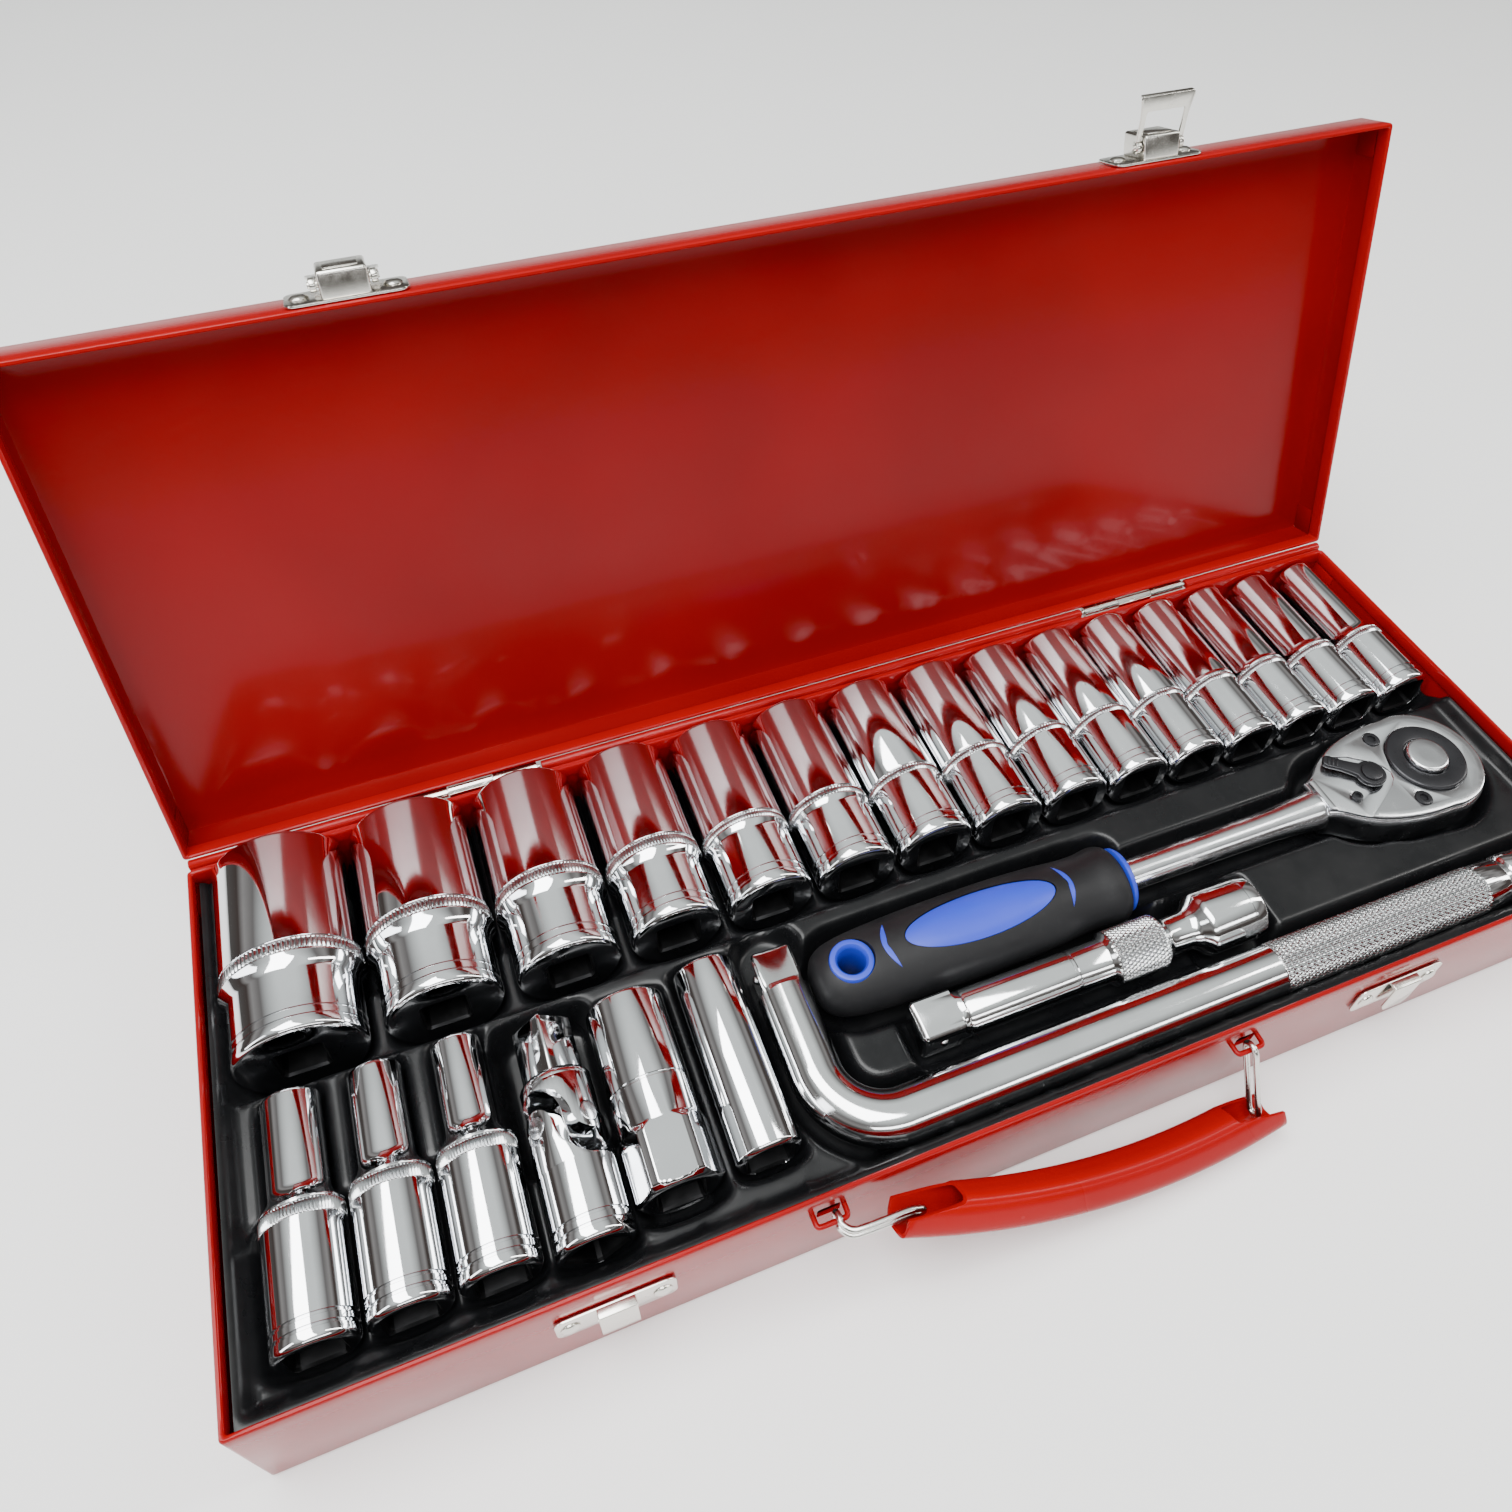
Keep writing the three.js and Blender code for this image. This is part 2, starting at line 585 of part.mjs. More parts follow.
function extensionBar() {
  const { left, right, shaft, collar, neck, socket: socketRadius } = EXTENSION;
  const half = DRIVE_SQUARE / 2;
  const spin = (profile) => {
    const g = new THREE.LatheGeometry(profile.map(([r, v]) => new THREE.Vector2(r, v)), 20);
    return solid(g.rotateZ(-Math.PI / 2));
  };
  const bar = spin([
    [0, left + 14],
    [shaft - 1, left + 14],
    [shaft, left + 16],
    [shaft, 40.9],
    [collar, 41.5],
    [collar, 60.8],
    [neck, 62],
    [neck, 72],
    [socketRadius, 76.5],
    [socketRadius, right - 1],
    [socketRadius - 1, right],
    [0, right],
  ]);
  const square = box([left, -half, -half], [left + 15, half, half]);
  const hole = box([right - 15, -DRIVE_HOLE / 2, -DRIVE_HOLE / 2], [right + 1, DRIVE_HOLE / 2, DRIVE_HOLE / 2]);
  return cut(join(bar, square), hole, ballPit(left + 7, -half + 1, 0));
}

// ---- ratchet: origin on the head's axis at the tools' centre height ----
const fromAxis = (z) => z - AXIS_Z;
const headRod = (radius, [x, y], from, to, sides, endRadius) =>
  rod("z", radius, [x, y], fromAxis(from), fromAxis(to), sides, endRadius);
const shaftCentre = [GRIP_Y - HEAD.y, 0];

// The head's pear outline, shrunk by `inset`.
function pear(inset) {
  const shape = new THREE.Shape();
  const start = THREE.MathUtils.degToRad(100);
  const tail = HEAD_SIDE.at(-1)[0];
  const side = HEAD_SIDE.map(([x, half]) => [x === tail ? x + inset : x, half - inset]);
  const [first, ...rest] = side.toReversed();
  shape.moveTo(first[0], -first[1]);
  for (const [x, half] of rest) shape.lineTo(x, -half);
  shape.absarc(0, 0, HEAD_RADIUS - inset, -start, start, false);
  for (const [x, half] of side) shape.lineTo(x, half);
  shape.closePath();
  return shape;
}

function ratchetBody() {
  const tail = HEAD_SIDE.at(-1)[0];
  const neck = tail - NECK_LENGTH;
  const shaftFrom = GRIP_END - HEAD.x - 50;
  return cut(
    join(
      plate(pear(0), fromAxis(HEAD_BOTTOM), fromAxis(HEAD_TOP), 14),
      rod("x", SHAFT_RADIUS, shaftCentre, shaftFrom, neck + 0.1, 16),
      rod("x", SHAFT_RADIUS, shaftCentre, neck, tail + COVER_INSET - GAP, 16, NECK_RADIUS),
    ),
    headRod(RING_RADIUS + GAP, [0, 0], RING_BOTTOM - GAP, HEAD_TOP + 1, 24),
    headRod(SPINDLE_RADIUS + GAP, [0, 0], HEAD_BOTTOM - 1, HEAD_TOP + 1, 20),
  );
}

function ratchetCover() {
  const hole = ([x, y, r]) => headRod(r + GAP, [x, y], HEAD_TOP, COVER_TOP + 1, 12);
  return cut(
    plate(pear(COVER_INSET), fromAxis(HEAD_TOP) + GAP, fromAxis(COVER_TOP), 14),
    headRod(RING_RADIUS + GAP, [0, 0], HEAD_TOP, COVER_TOP + 1, 24),
    ...COVER_SCREWS.map(hole),
  );
}

const buttonHole = () => headRod(BUTTON_RADIUS + GAP, [0, 0], BUTTON_WELL, BUTTON_TOP, 20);

function driveSquare() {
  const half = DRIVE_SQUARE / 2;
  const [bottom, top] = SPINDLE;
  return cut(
    join(
      headRod(SPINDLE_RADIUS, [0, 0], bottom, top, 20),
      box([-half, -half, fromAxis(SQUARE_BOTTOM)], [half, half, fromAxis(bottom) + 0.1]),
    ),
    buttonHole(),
  );
}

function driveRing() {
  const bevel = 0.7;
  return cut(
    join(
      headRod(RING_RADIUS, [0, 0], RING_BOTTOM, RING_TOP - bevel, 24),
      headRod(RING_RADIUS, [0, 0], RING_TOP - bevel - 0.01, RING_TOP, 24, RING_RADIUS - bevel),
    ),
    buttonHole(),
  );
}

const coverScrew = ([x, y, r]) => headRod(r, [x, y], HEAD_TOP + GAP, COVER_TOP + SCREW_LIFT, 12);

function reverseLever() {
  const { length, thickness, hub, tip } = REVERSE_LEVER;
  const shape = new THREE.Shape();
  shape.absarc(0, 0, hub, -Math.PI / 3, Math.PI / 3, true);
  shape.lineTo(length - 1, tip);
  shape.lineTo(length, tip - 1);
  shape.lineTo(length, 1 - tip);
  shape.lineTo(length - 1, -tip);
  shape.closePath();
  const bottom = fromAxis(COVER_TOP) + SCREW_LIFT + GAP;
  return plate(shape, bottom, bottom + thickness, 12);
}

// An egg-section handle about X; `grow` thickens it all round.
function gripShape(grow) {
  const profile = [
    [0, -47.8],
    [5.5, -47.4],
    [9.6, -44.5],
    [12, -38],
    [13.2, -28],
    [14, -10],
    [14.2, 12],
    [13.6, 32],
    [12.6, 44],
    [12.6, 49],
    [13.4, 54],
    [12.6, 58.4],
    [10.6, GRIP_END],
    [0, GRIP_END],
  ].map(([r, x]) => new THREE.Vector2(r ? r + grow : 0, x));
  const g = new THREE.LatheGeometry(profile, 18).rotateZ(-Math.PI / 2).scale(1, 1, 0.86);
  return solid(g);
}

const ellipse = (grow) => {
  const shape = new THREE.Shape();
  shape.absellipse(INLAY.x, 0, INLAY.halfLength + grow, INLAY.halfWidth + grow, 0, 2 * Math.PI, false);
  return shape;
};

function ratchetGrip() {
  return cut(
    gripShape(0),
    rod("x", SHAFT_RADIUS + GAP, [0, 0], GRIP_END - 51, GRIP_END + 1, 16),
    rod("z", EYELET.outer + GAP, [EYELET.x, 0], -20, 20, 20),
    plate(ellipse(GAP), INLAY.floor - AXIS_Z, 20, 14),
  );
}

const gripInlay = () => plate(ellipse(0), INLAY.floor - AXIS_Z + GAP, 20, 14).intersect(gripShape(0.1));

const hangEyelet = () =>
  cut(
    rod("z", EYELET.outer, [EYELET.x, 0], -9.8, 9.8, 20),
    rod("z", EYELET.inner, [EYELET.x, 0], -12, 12, 16),
  );

const gripCollar = () =>
  cut(
    rod("x", 10.8, [0, 0], GRIP_END + GAP, GRIP_END + 2.6, 20, 9.6),
    rod("x", SHAFT_RADIUS + GAP, [0, 0], GRIP_END - 1, GRIP_END + 4, 16),
  );

// ---- tray ----
const OPEN_Z = LAND_Z + 20; // above everything in the tray
const BAR_HALF = BAR.radius + 1; // half the width of the L-bar's pocket
const SPLIT_X = BAR.x - BAR_HALF; // between the short tools and the long ones
const pocketRod = (radius, x, from, to) => rod("y", radius + POCKET, [x, AXIS_Z], from, to, SOCKET_SIDES);
const pocketBox = ([fromX, toX], [fromY, toY], floor) => box([fromX, fromY, floor], [toX, toY, OPEN_Z]);
const across = (middle, half) => [middle - half, middle + half];

function deepPockets(places) {
  return places.flatMap(({ x, front, driveRadius, hexRadius }) => {
    const coveStart = front + DEEP_SHOULDER - coveLength(driveRadius, hexRadius) - POCKET;
    return [
      pocketRod(driveRadius, x, front - POCKET, front + DEEP_SHOULDER),
      pocketRod(hexRadius, x, coveStart, HALF_DEPTH),
    ];
  });
}

function smallPockets() {
  const first = SMALL_SOCKETS[0][1];
  const last = SMALL_SOCKETS.at(-1)[1];
  const reach = SMALL_RADIUS + POCKET;
  const start = SMALL_FRONT - POCKET_END;
  const shoulder = SMALL_FRONT + SMALL_SHOULDER + POCKET;
  const end = SMALL_FRONT + SOCKET_LENGTH + POCKET_END;
  const bores = SMALL_SOCKETS.flatMap(([, x, hexRadius]) => [
    pocketRod(SMALL_RADIUS, x, start, shoulder),
    pocketRod(hexRadius, x, shoulder - 1, end),
  ]);
  return [pocketBox([first - reach, last + reach], [start, shoulder], BED_Z), ...bores];
}

function shortToolPockets() {
  const plugPocket = ({ x, front, length, radius }, extra) =>
    pocketBox(
      across(x, radius + extra),
      [front - POCKET_END, front + length + POCKET_END],
      AXIS_Z - radius - extra,
    );
  const yokeHalf = UJ.radius + 0.8;
  const crossHalf = UJ.radius + 1.8;
  return [
    plugPocket(PLUG_16, 2.4),
    plugPocket(PLUG_14, 0.8),
    pocketBox(across(UJ.x, yokeHalf), [UJ.front - POCKET_END, UJ.pivotY], AXIS_Z - yokeHalf),
    pocketBox(across(UJ.x, crossHalf), [UJ.pivotY - 1, UJ.back + POCKET_END], UJ_FLOOR),
  ];
}

function barPockets() {
  const floor = AXIS_Z - BAR.radius - POCKET;
  const cx = BAR.x + BAR.bend;
  const cy = BAR.y + BAR.bend;
  const bend = new THREE.Shape();
  bend.absarc(cx, cy, BAR.bend + BAR_HALF, Math.PI, 1.5 * Math.PI, false);
  bend.absarc(cx, cy, BAR.bend - BAR_HALF, 1.5 * Math.PI, Math.PI, true);
  bend.closePath();
  return [
    pocketBox(across(BAR.x, BAR_HALF), [cy, BAR.squareBack + POCKET_END], floor),
    pocketBox([cx, BAR.end + POCKET_END], across(BAR.y, BAR_HALF), floor),
    plate(bend, floor, OPEN_Z, 8),
  ];
}

function extensionPockets() {
  const { y, left, right, collar, socket: end } = EXTENSION;
  const neckX = right - 23;
  return [
    pocketBox([left - POCKET_END, neckX + 1], across(y, collar + 1), AXIS_Z - collar - POCKET),
    pocketBox([neckX, right + POCKET_END], across(y, end + 1), AXIS_Z - end - POCKET),
  ];
}

function ratchetPockets() {
  const headFloor = HEAD_BOTTOM - POCKET;
  const shaftHalf = SHAFT_RADIUS + 2.3;
  const neckHalf = NECK_RADIUS + 2.3;
  const tail = HEAD.x + HEAD_SIDE.at(-1)[0];
  const neck = outline([
    [GRIP_END + 3, GRIP_Y - shaftHalf],
    [tail - NECK_LENGTH, GRIP_Y - shaftHalf],
    [tail, GRIP_Y - neckHalf],
    [tail, GRIP_Y + neckHalf],
    [tail - NECK_LENGTH, GRIP_Y + shaftHalf],
    [GRIP_END + 3, GRIP_Y + shaftHalf],
  ]);
  return [
    pocketBox([EYELET.x - 14.3, GRIP_END + 4.7], across(GRIP_Y, 15.4), GRIP_FLOOR),
    plate(neck, AXIS_Z - neckHalf + 0.4, OPEN_Z, 1),
    plate(pear(-HEAD_ROOM), headFloor, OPEN_Z, 12).translate([HEAD.x, HEAD.y, 0]),
    rod("z", DRIVE_WELL, [HEAD.x, HEAD.y], DRIVE_WELL_FLOOR, headFloor + 1, 20),
  ];
}

// The formed tray is open underneath: a shallow hollow below the sockets and a deeper one below the tools.
function underside() {
  const x = HALF_LENGTH - UNDER_EDGE;
  const y = HALF_DEPTH - UNDER_EDGE;
  const hollow = join(
    box([-x, -y, 0], [x, y, UNDER_SOCKETS]),
    box([-x, -y, 0], [x, BED_FRONT - UNDER_EDGE, UNDER_TOOLS]),
  );
  return cut(hollow, rod("z", DRIVE_WELL + 2, [HEAD.x, HEAD.y], -1, UNDER_TOOLS + 1, 16));
}

// The raised border along the front and both ends; `grow` gives the room it needs.
function trayBorder(grow) {
  const strip = ([x, y], [toX, toY]) =>
    box([x - grow, y - grow, BED_Z + GAP - grow], [toX + grow, toY + grow, RIDGE_Z + grow]);
  return join(
    strip([-TRAY_X, -TRAY_Y], [TRAY_X, -TRAY_Y + RIDGE_FRONT]),
    strip([-TRAY_X, -TRAY_Y], [-TRAY_X + RIDGE_SIDE, TRAY_Y]),
    strip([TRAY_X - RIDGE_SIDE, -TRAY_Y], [TRAY_X, BED_FRONT - GAP]),
  );
}

function trayFields(places) {
  const field = (low, high, pockets) => cut(box(low, high), ...pockets, underside(), trayBorder(GAP));
  const right = SPLIT_X + GAP;
  const back = BED_FRONT - GAP;
  const longTools = [...barPockets(), ...extensionPockets(), ...ratchetPockets()];
  const shortTools = [...smallPockets(), ...shortToolPockets()];
  return {
    tray_socket_bed: field([-TRAY_X, BED_FRONT, TRAY_BOTTOM], [TRAY_X, TRAY_Y, BED_Z], deepPockets(places)),
    tray_left_field: field([-TRAY_X, -TRAY_Y, TRAY_BOTTOM], [SPLIT_X, back, SHORT_LAND_Z], shortTools),
    tray_right_floor: field([right, -TRAY_Y, TRAY_BOTTOM], [TRAY_X, back, GRIP_FLOOR - GAP], longTools),
    tray_right_field: field([right, -TRAY_Y, GRIP_FLOOR], [TRAY_X, back, LAND_Z], longTools),
    tray_border: trayBorder(0),
  };
}

// ---- assembly ----
const object = new THREE.Group();

mesh("case_base", caseBase(), redPaint(), object);

const lidGroup = new THREE.Group();
lidGroup.position.set(0, HINGE_AXIS[0], HINGE_AXIS[1]);
lidGroup.rotation.x = -LID_OPEN;
object.add(lidGroup);
// pieces on the lid are built as they sit when it is closed, then moved to the hinge axis
const lidFrame = new THREE.Group();
lidFrame.position.set(0, -HINGE_AXIS[0], -HINGE_AXIS[1]);
lidGroup.add(lidFrame);
mesh("case_lid", sheetTray(LID_TOP, LID_RIM), redPaint(), lidFrame);

for (const [side, s] of bothSides) {
  const x = s * HINGE_X;
  const baseLeaf = hingeLeaf(x, HINGE_BASE_LEAF, [1], true);
  const lidLeaf = hingeLeaf(x, HINGE_LID_LEAF, [0, 2], false);
  mesh(`hinge_base_leaf_${side}`, baseLeaf, nickel(), object);
  mesh(`hinge_lid_leaf_${side}`, lidLeaf, nickel(), lidFrame);
}

for (const [side, s] of bothSides) {
  const x = s * LATCH_X;
  mesh(`latch_plate_${side}`, latchPlate(x), nickel(), lidFrame);
  const lever = mesh(`latch_lever_${side}`, latchLever(), nickel(), lidFrame, [x, ...LATCH_PIVOT]);
  lever.rotation.x = side === "left" ? -LEVER_LEFT_OPEN : -LEVER_RIGHT_OPEN;
  mesh(`catch_plate_${side}`, catchPlate(x), nickel(), object);
}

const rightCrown = new THREE.Vector3(STAPLE_X, STAPLE_Y, STAPLE_Z);
const rightAlong = GRIP_RIGHT.clone().sub(rightCrown).normalize();
const rightSide = new THREE.Vector3(1, 0, 0).cross(rightAlong).normalize();
const rightAt = (distance) => rightCrown.clone().addScaledVector(rightAlong, distance);
const rightReach = rightCrown.distanceTo(GRIP_RIGHT);
const rightPath = [-LINK_HOOK, 3, 8, rightReach - 5, rightReach].map(rightAt);
mesh("handle_link_right", wireLoop(rightPath, rightSide), nickel(), object);
// the left loop hooks over its crown, then turns along the wall to the grip
const leftPath = [
  new THREE.Vector3(-STAPLE_X + 1.5, STAPLE_Y + LINK_HOOK, STAPLE_Z),
  new THREE.Vector3(-STAPLE_X + 1.7, STAPLE_Y - 1.8, STAPLE_Z),
  new THREE.Vector3(-STAPLE_X + 3.8, STAPLE_Y - 4.2, STAPLE_Z + 0.2),
  new THREE.Vector3(-STAPLE_X + 8, STAPLE_Y - 4.9, STAPLE_Z + 0.5),
  GRIP_LEFT.clone().add(new THREE.Vector3(-5, 0.3, 1.7)),
  GRIP_LEFT,
];
mesh("handle_link_left", wireLoop(leftPath, new THREE.Vector3(0, 0, 1)), nickel(), object);
mesh("handle_grip", gripBow(), redPaint(), object);

const places = [];
DEEP_SOCKETS.forEach(([size, driveRadius, hexRadius], i) => {
  const before = places[i - 1];
  const reach = Math.max(driveRadius, hexRadius);
  const x = before ? before.x + before.reach + reach + DEEP_PITCH_GAP : DEEP_FIRST_X;
  places.push({ size, driveRadius, hexRadius, reach, x, front: SOCKET_BACK - SOCKET_LENGTH });
});
for (const [name, made] of Object.entries(trayFields(places))) mesh(name, made, blackTray(), object);

for (const { size, driveRadius, hexRadius, x, front } of places) {
  const made = socket(size, SOCKET_LENGTH, driveRadius, hexRadius, DEEP_SHOULDER);
  mesh(`deep_socket_${size}mm`, made, chrome(), object, [x, front, AXIS_Z]);
}
for (const [size, x, hexRadius] of SMALL_SOCKETS) {
  const made = socket(size, SOCKET_LENGTH, SMALL_RADIUS, hexRadius, SMALL_SHOULDER);
  mesh(`deep_socket_${size}mm`, made, chrome(), object, [x, SMALL_FRONT, AXIS_Z]);
}
for (const plug of [PLUG_16, PLUG_14]) {
  mesh(`spark_plug_socket_${plug.size}mm`, plugSocket(plug), chrome(), object, [plug.x, plug.front, AXIS_Z]);
}

const ujGroup = new THREE.Group();
ujGroup.position.set(UJ.x, UJ.pivotY, AXIS_Z);
ujGroup.rotation.y = UJ.roll;
object.add(ujGroup);
mesh("uj_socket_yoke", ujSocketYoke(), chrome(), ujGroup);
mesh("uj_cross", ujCross(), chrome(), ujGroup);
mesh("uj_plug_yoke", ujPlugYoke(), chrome(), ujGroup);

mesh("l_bar", lBar(), chrome(), object, [0, 0, AXIS_Z]);
const barBall = [BAR.x - DRIVE_SQUARE / 2 + 1, BAR.squareBack - 6, AXIS_Z];
mesh("l_bar_detent_ball", detentBall(), chrome(), object, barBall);
mesh("extension_bar", extensionBar(), chrome(), object, [0, EXTENSION.y, AXIS_Z]);
const extensionBall = [EXTENSION.left + 7, EXTENSION.y - DRIVE_SQUARE / 2 + 1, AXIS_Z];
mesh("extension_detent_ball", detentBall(), chrome(), object, extensionBall);

const ratchet = new THREE.Group();
ratchet.position.copy(HEAD);
object.add(ratchet);
mesh("ratchet_body", ratchetBody(), satinChrome(), ratchet);
mesh("ratchet_cover", ratchetCover(), satinChrome(), ratchet);
mesh("ratchet_drive_square", driveSquare(), satinChrome(), ratchet);
mesh("ratchet_drive_ring", driveRing(), blackSteel(), ratchet);
const button = headRod(BUTTON_RADIUS, [0, 0], BUTTON_BOTTOM, BUTTON_TOP, 20);
mesh("ratchet_release_button", button, nickel(), ratchet);
const lever = mesh("ratchet_reverse_lever", reverseLever(), blackSteel(), ratchet, [...LEVER_PIVOT, 0]);
lever.rotation.z = LEVER_REST;
COVER_SCREWS.forEach((place, i) => mesh(`ratchet_cover_screw_${i + 1}`, coverScrew(place), blackSteel(), ratchet));
const gripFrame = new THREE.Group();
gripFrame.position.set(0, GRIP_Y, AXIS_Z);
object.add(gripFrame);
mesh("ratchet_grip", ratchetGrip(), rubber(), gripFrame);
mesh("ratchet_grip_inlay", gripInlay(), bluePlastic(), gripFrame);
mesh("ratchet_grip_collar", gripCollar(), bluePlastic(), gripFrame);
mesh("ratchet_hang_eyelet", hangEyelet(), bluePlastic(), gripFrame);

export default object;
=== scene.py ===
"""A half-inch-drive socket wrench set in its red steel case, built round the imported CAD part.

Lengths are in millimetres in the CAD part's own frame, and become metres as each piece's mesh is made."""

import math

import bmesh
import bpy
import numpy as np
from mathutils import Matrix, Vector


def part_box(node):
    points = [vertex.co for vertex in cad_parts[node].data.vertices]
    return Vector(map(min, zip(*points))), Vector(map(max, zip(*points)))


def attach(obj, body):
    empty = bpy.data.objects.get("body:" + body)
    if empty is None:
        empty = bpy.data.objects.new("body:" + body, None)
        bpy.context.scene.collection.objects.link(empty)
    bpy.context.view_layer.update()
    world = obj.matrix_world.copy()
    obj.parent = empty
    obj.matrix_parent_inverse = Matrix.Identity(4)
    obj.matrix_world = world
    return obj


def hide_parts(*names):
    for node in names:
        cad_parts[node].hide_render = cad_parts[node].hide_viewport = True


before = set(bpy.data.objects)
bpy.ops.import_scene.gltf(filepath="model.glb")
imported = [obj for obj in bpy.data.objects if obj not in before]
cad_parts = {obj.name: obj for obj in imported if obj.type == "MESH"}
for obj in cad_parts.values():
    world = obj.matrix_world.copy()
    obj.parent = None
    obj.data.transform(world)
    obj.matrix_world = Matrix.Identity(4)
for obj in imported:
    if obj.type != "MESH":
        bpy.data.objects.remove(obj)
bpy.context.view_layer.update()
MM = 0.001
TAU = 2 * math.pi


# ---- materials ----
class Nodes:
    """A material's node tree, with its Principled shader and the coordinates that its patterns share."""

    def __init__(self, name, color, roughness, metallic=0.0, coat=0.0, coat_roughness=0.05, specular=0.5):
        self.material = bpy.data.materials.new(name)
        self.material.use_nodes = True
        self.material.diffuse_color = (*color, 1)
        self.tree = self.material.node_tree
        self.shader = self.tree.nodes["Principled BSDF"]
        self.shader.inputs["Base Color"].default_value = (*color, 1)
        self.shader.inputs["Roughness"].default_value = roughness
        self.shader.inputs["Metallic"].default_value = metallic
        self.shader.inputs["Coat Weight"].default_value = coat
        self.shader.inputs["Coat Roughness"].default_value = coat_roughness
        self.shader.inputs["Specular IOR Level"].default_value = specular
        self.color = color
        self.place = self.node("ShaderNodeTexCoord").outputs["Object"]

    def node(self, kind, **values):
        made = self.tree.nodes.new(kind)
        for key, value in values.items():
            setattr(made, key, value)
        return made

    def link(self, a, b):
        self.tree.links.new(a, b)

    def noise(self, size_mm, detail=3.0, stretch=(1, 1, 1), roughness=0.55):
        """Noise whose blobs are about size_mm across, longer along an axis by its stretch."""
        mapping = self.node("ShaderNodeMapping")
        mapping.inputs["Scale"].default_value = [1 / s for s in stretch]
        self.link(self.place, mapping.inputs["Vector"])
        noise = self.node("ShaderNodeTexNoise")
        noise.inputs["Scale"].default_value = 1 / (size_mm * MM)
        noise.inputs["Detail"].default_value = detail
        noise.inputs["Roughness"].default_value = roughness
        self.link(mapping.outputs["Vector"], noise.inputs["Vector"])
        return noise.outputs["Fac"]

    def remap(self, value, low, high, start=0.35, end=0.65):
        remap = self.node("ShaderNodeMapRange")
        remap.inputs["From Min"].default_value = start
        remap.inputs["From Max"].default_value = end
        remap.inputs["To Min"].default_value = low
        remap.inputs["To Max"].default_value = high
        self.link(value, remap.inputs["Value"])
        return remap.outputs["Result"]

    def vary_roughness(self, value, low, high, start=0.35, end=0.65):
        self.link(self.remap(value, low, high, start, end), self.shader.inputs["Roughness"])

    def vary_color(self, value, other, start=0.35, end=0.65):
        mix = self.node("ShaderNodeMix", data_type="RGBA")
        mix.inputs["A"].default_value = (*self.color, 1)
        mix.inputs["B"].default_value = (*other, 1)
        self.link(self.remap(value, 0, 1, start, end), mix.inputs["Factor"])
        self.link(mix.outputs["Result"], self.shader.inputs["Base Color"])

    def bump(self, *layers):
        """Each layer is (value, height in mm)."""
        normal = None
        for value, height in layers:
            bump = self.node("ShaderNodeBump")
            bump.inputs["Distance"].default_value = height * MM
            self.link(value, bump.inputs["Height"])
            if normal:
                self.link(normal, bump.inputs["Normal"])
            normal = bump.outputs["Normal"]
        self.link(normal, self.shader.inputs["Normal"])


def red_paint(name, color, peel, low, high):
    m = Nodes(name, color, 0.3, coat=0.06, coat_roughness=0.05, specular=0.15)
    m.vary_color(m.noise(90, 2), tuple(c * 0.82 for c in color))
    m.vary_roughness(m.noise(38, 1), low, high)
    m.bump((m.noise(0.7, 2), peel * 0.7), (m.noise(2.2, 2), peel), (m.noise(6.0, 2), peel))
    return m.material


def plated(name, color, low, high, grain=0.004, turned=(1, 1, 1), metallic=1.0):
    m = Nodes(name, color, low, metallic=metallic)
    m.vary_color(m.noise(14, 4), tuple(c * 0.923 for c in color))
    m.vary_roughness(m.noise(7, 6, roughness=0.7), low, high, 0.4, 0.75)
    m.bump((m.noise(0.5, 3, stretch=turned), grain))
    return m.material


def plastic(name, color, low, high, grain_mm, height, dust=0.0, specular=0.5):
    m = Nodes(name, color, low, specular=specular)
    paler = tuple(c + dust for c in color)
    m.vary_color(m.noise(3.0, 6, roughness=0.75), paler, 0.52, 0.8)
    m.vary_roughness(m.noise(18, 4), low, high)
    m.bump((m.noise(grain_mm, 3), height))
    return m.material


PAINT_LID = red_paint("red_paint_inside", (0.20, 0.0004, 0.0012), 0.024, 0.15, 0.22)
PAINT_CASE = red_paint("red_paint_outside", (0.29, 0.001, 0.0022), 0.009, 0.17, 0.24)
PAINT_GRIP = red_paint("red_paint_grip", (0.31, 0.001, 0.002), 0.008, 0.16, 0.32)
CHROME = plated("polished_chrome", (0.83, 0.84, 0.86), 0.035, 0.11, 0.0018, turned=(4, 1, 4))
KNURL = plated("knurled_chrome", (0.50, 0.51, 0.52), 0.14, 0.26, 0.005)
# the bores are rougher steel than the outside, and their near-black colour is painted shade for the inside
# of the deep holes
SHADED_BORE = plated("bore_steel_painted_shade", (0.045, 0.045, 0.047), 0.34, 0.55, 0.01)
BAR_CHROME = plated("bar_chrome", (0.80, 0.81, 0.82), 0.07, 0.16, 0.003)
SATIN = plated("satin_chrome", (0.77, 0.78, 0.80), 0.16, 0.3, 0.006)
NICKEL = plated("nickel_plate", (0.69, 0.67, 0.62), 0.17, 0.34, 0.008)
WIRE = plated("steel_wire", (0.66, 0.65, 0.62), 0.2, 0.36, 0.01)
BALL = plated("ground_ball", (0.62, 0.62, 0.62), 0.08, 0.2, 0.002)
OXIDE = plated("black_oxide", (0.028, 0.028, 0.031), 0.26, 0.44, 0.012, metallic=0.6)
TRAY = plastic(
    "formed_black_plastic", (0.0042, 0.0044, 0.005), 0.22, 0.4, 0.8, 0.005, dust=0.005, specular=0.34
)
RUBBER = plastic("black_rubber", (0.0075, 0.0075, 0.0085), 0.42, 0.6, 0.28, 0.02, dust=0.006, specular=0.3)
BLUE = plastic("blue_plastic", (0.022, 0.048, 0.52), 0.34, 0.48, 0.3, 0.012)


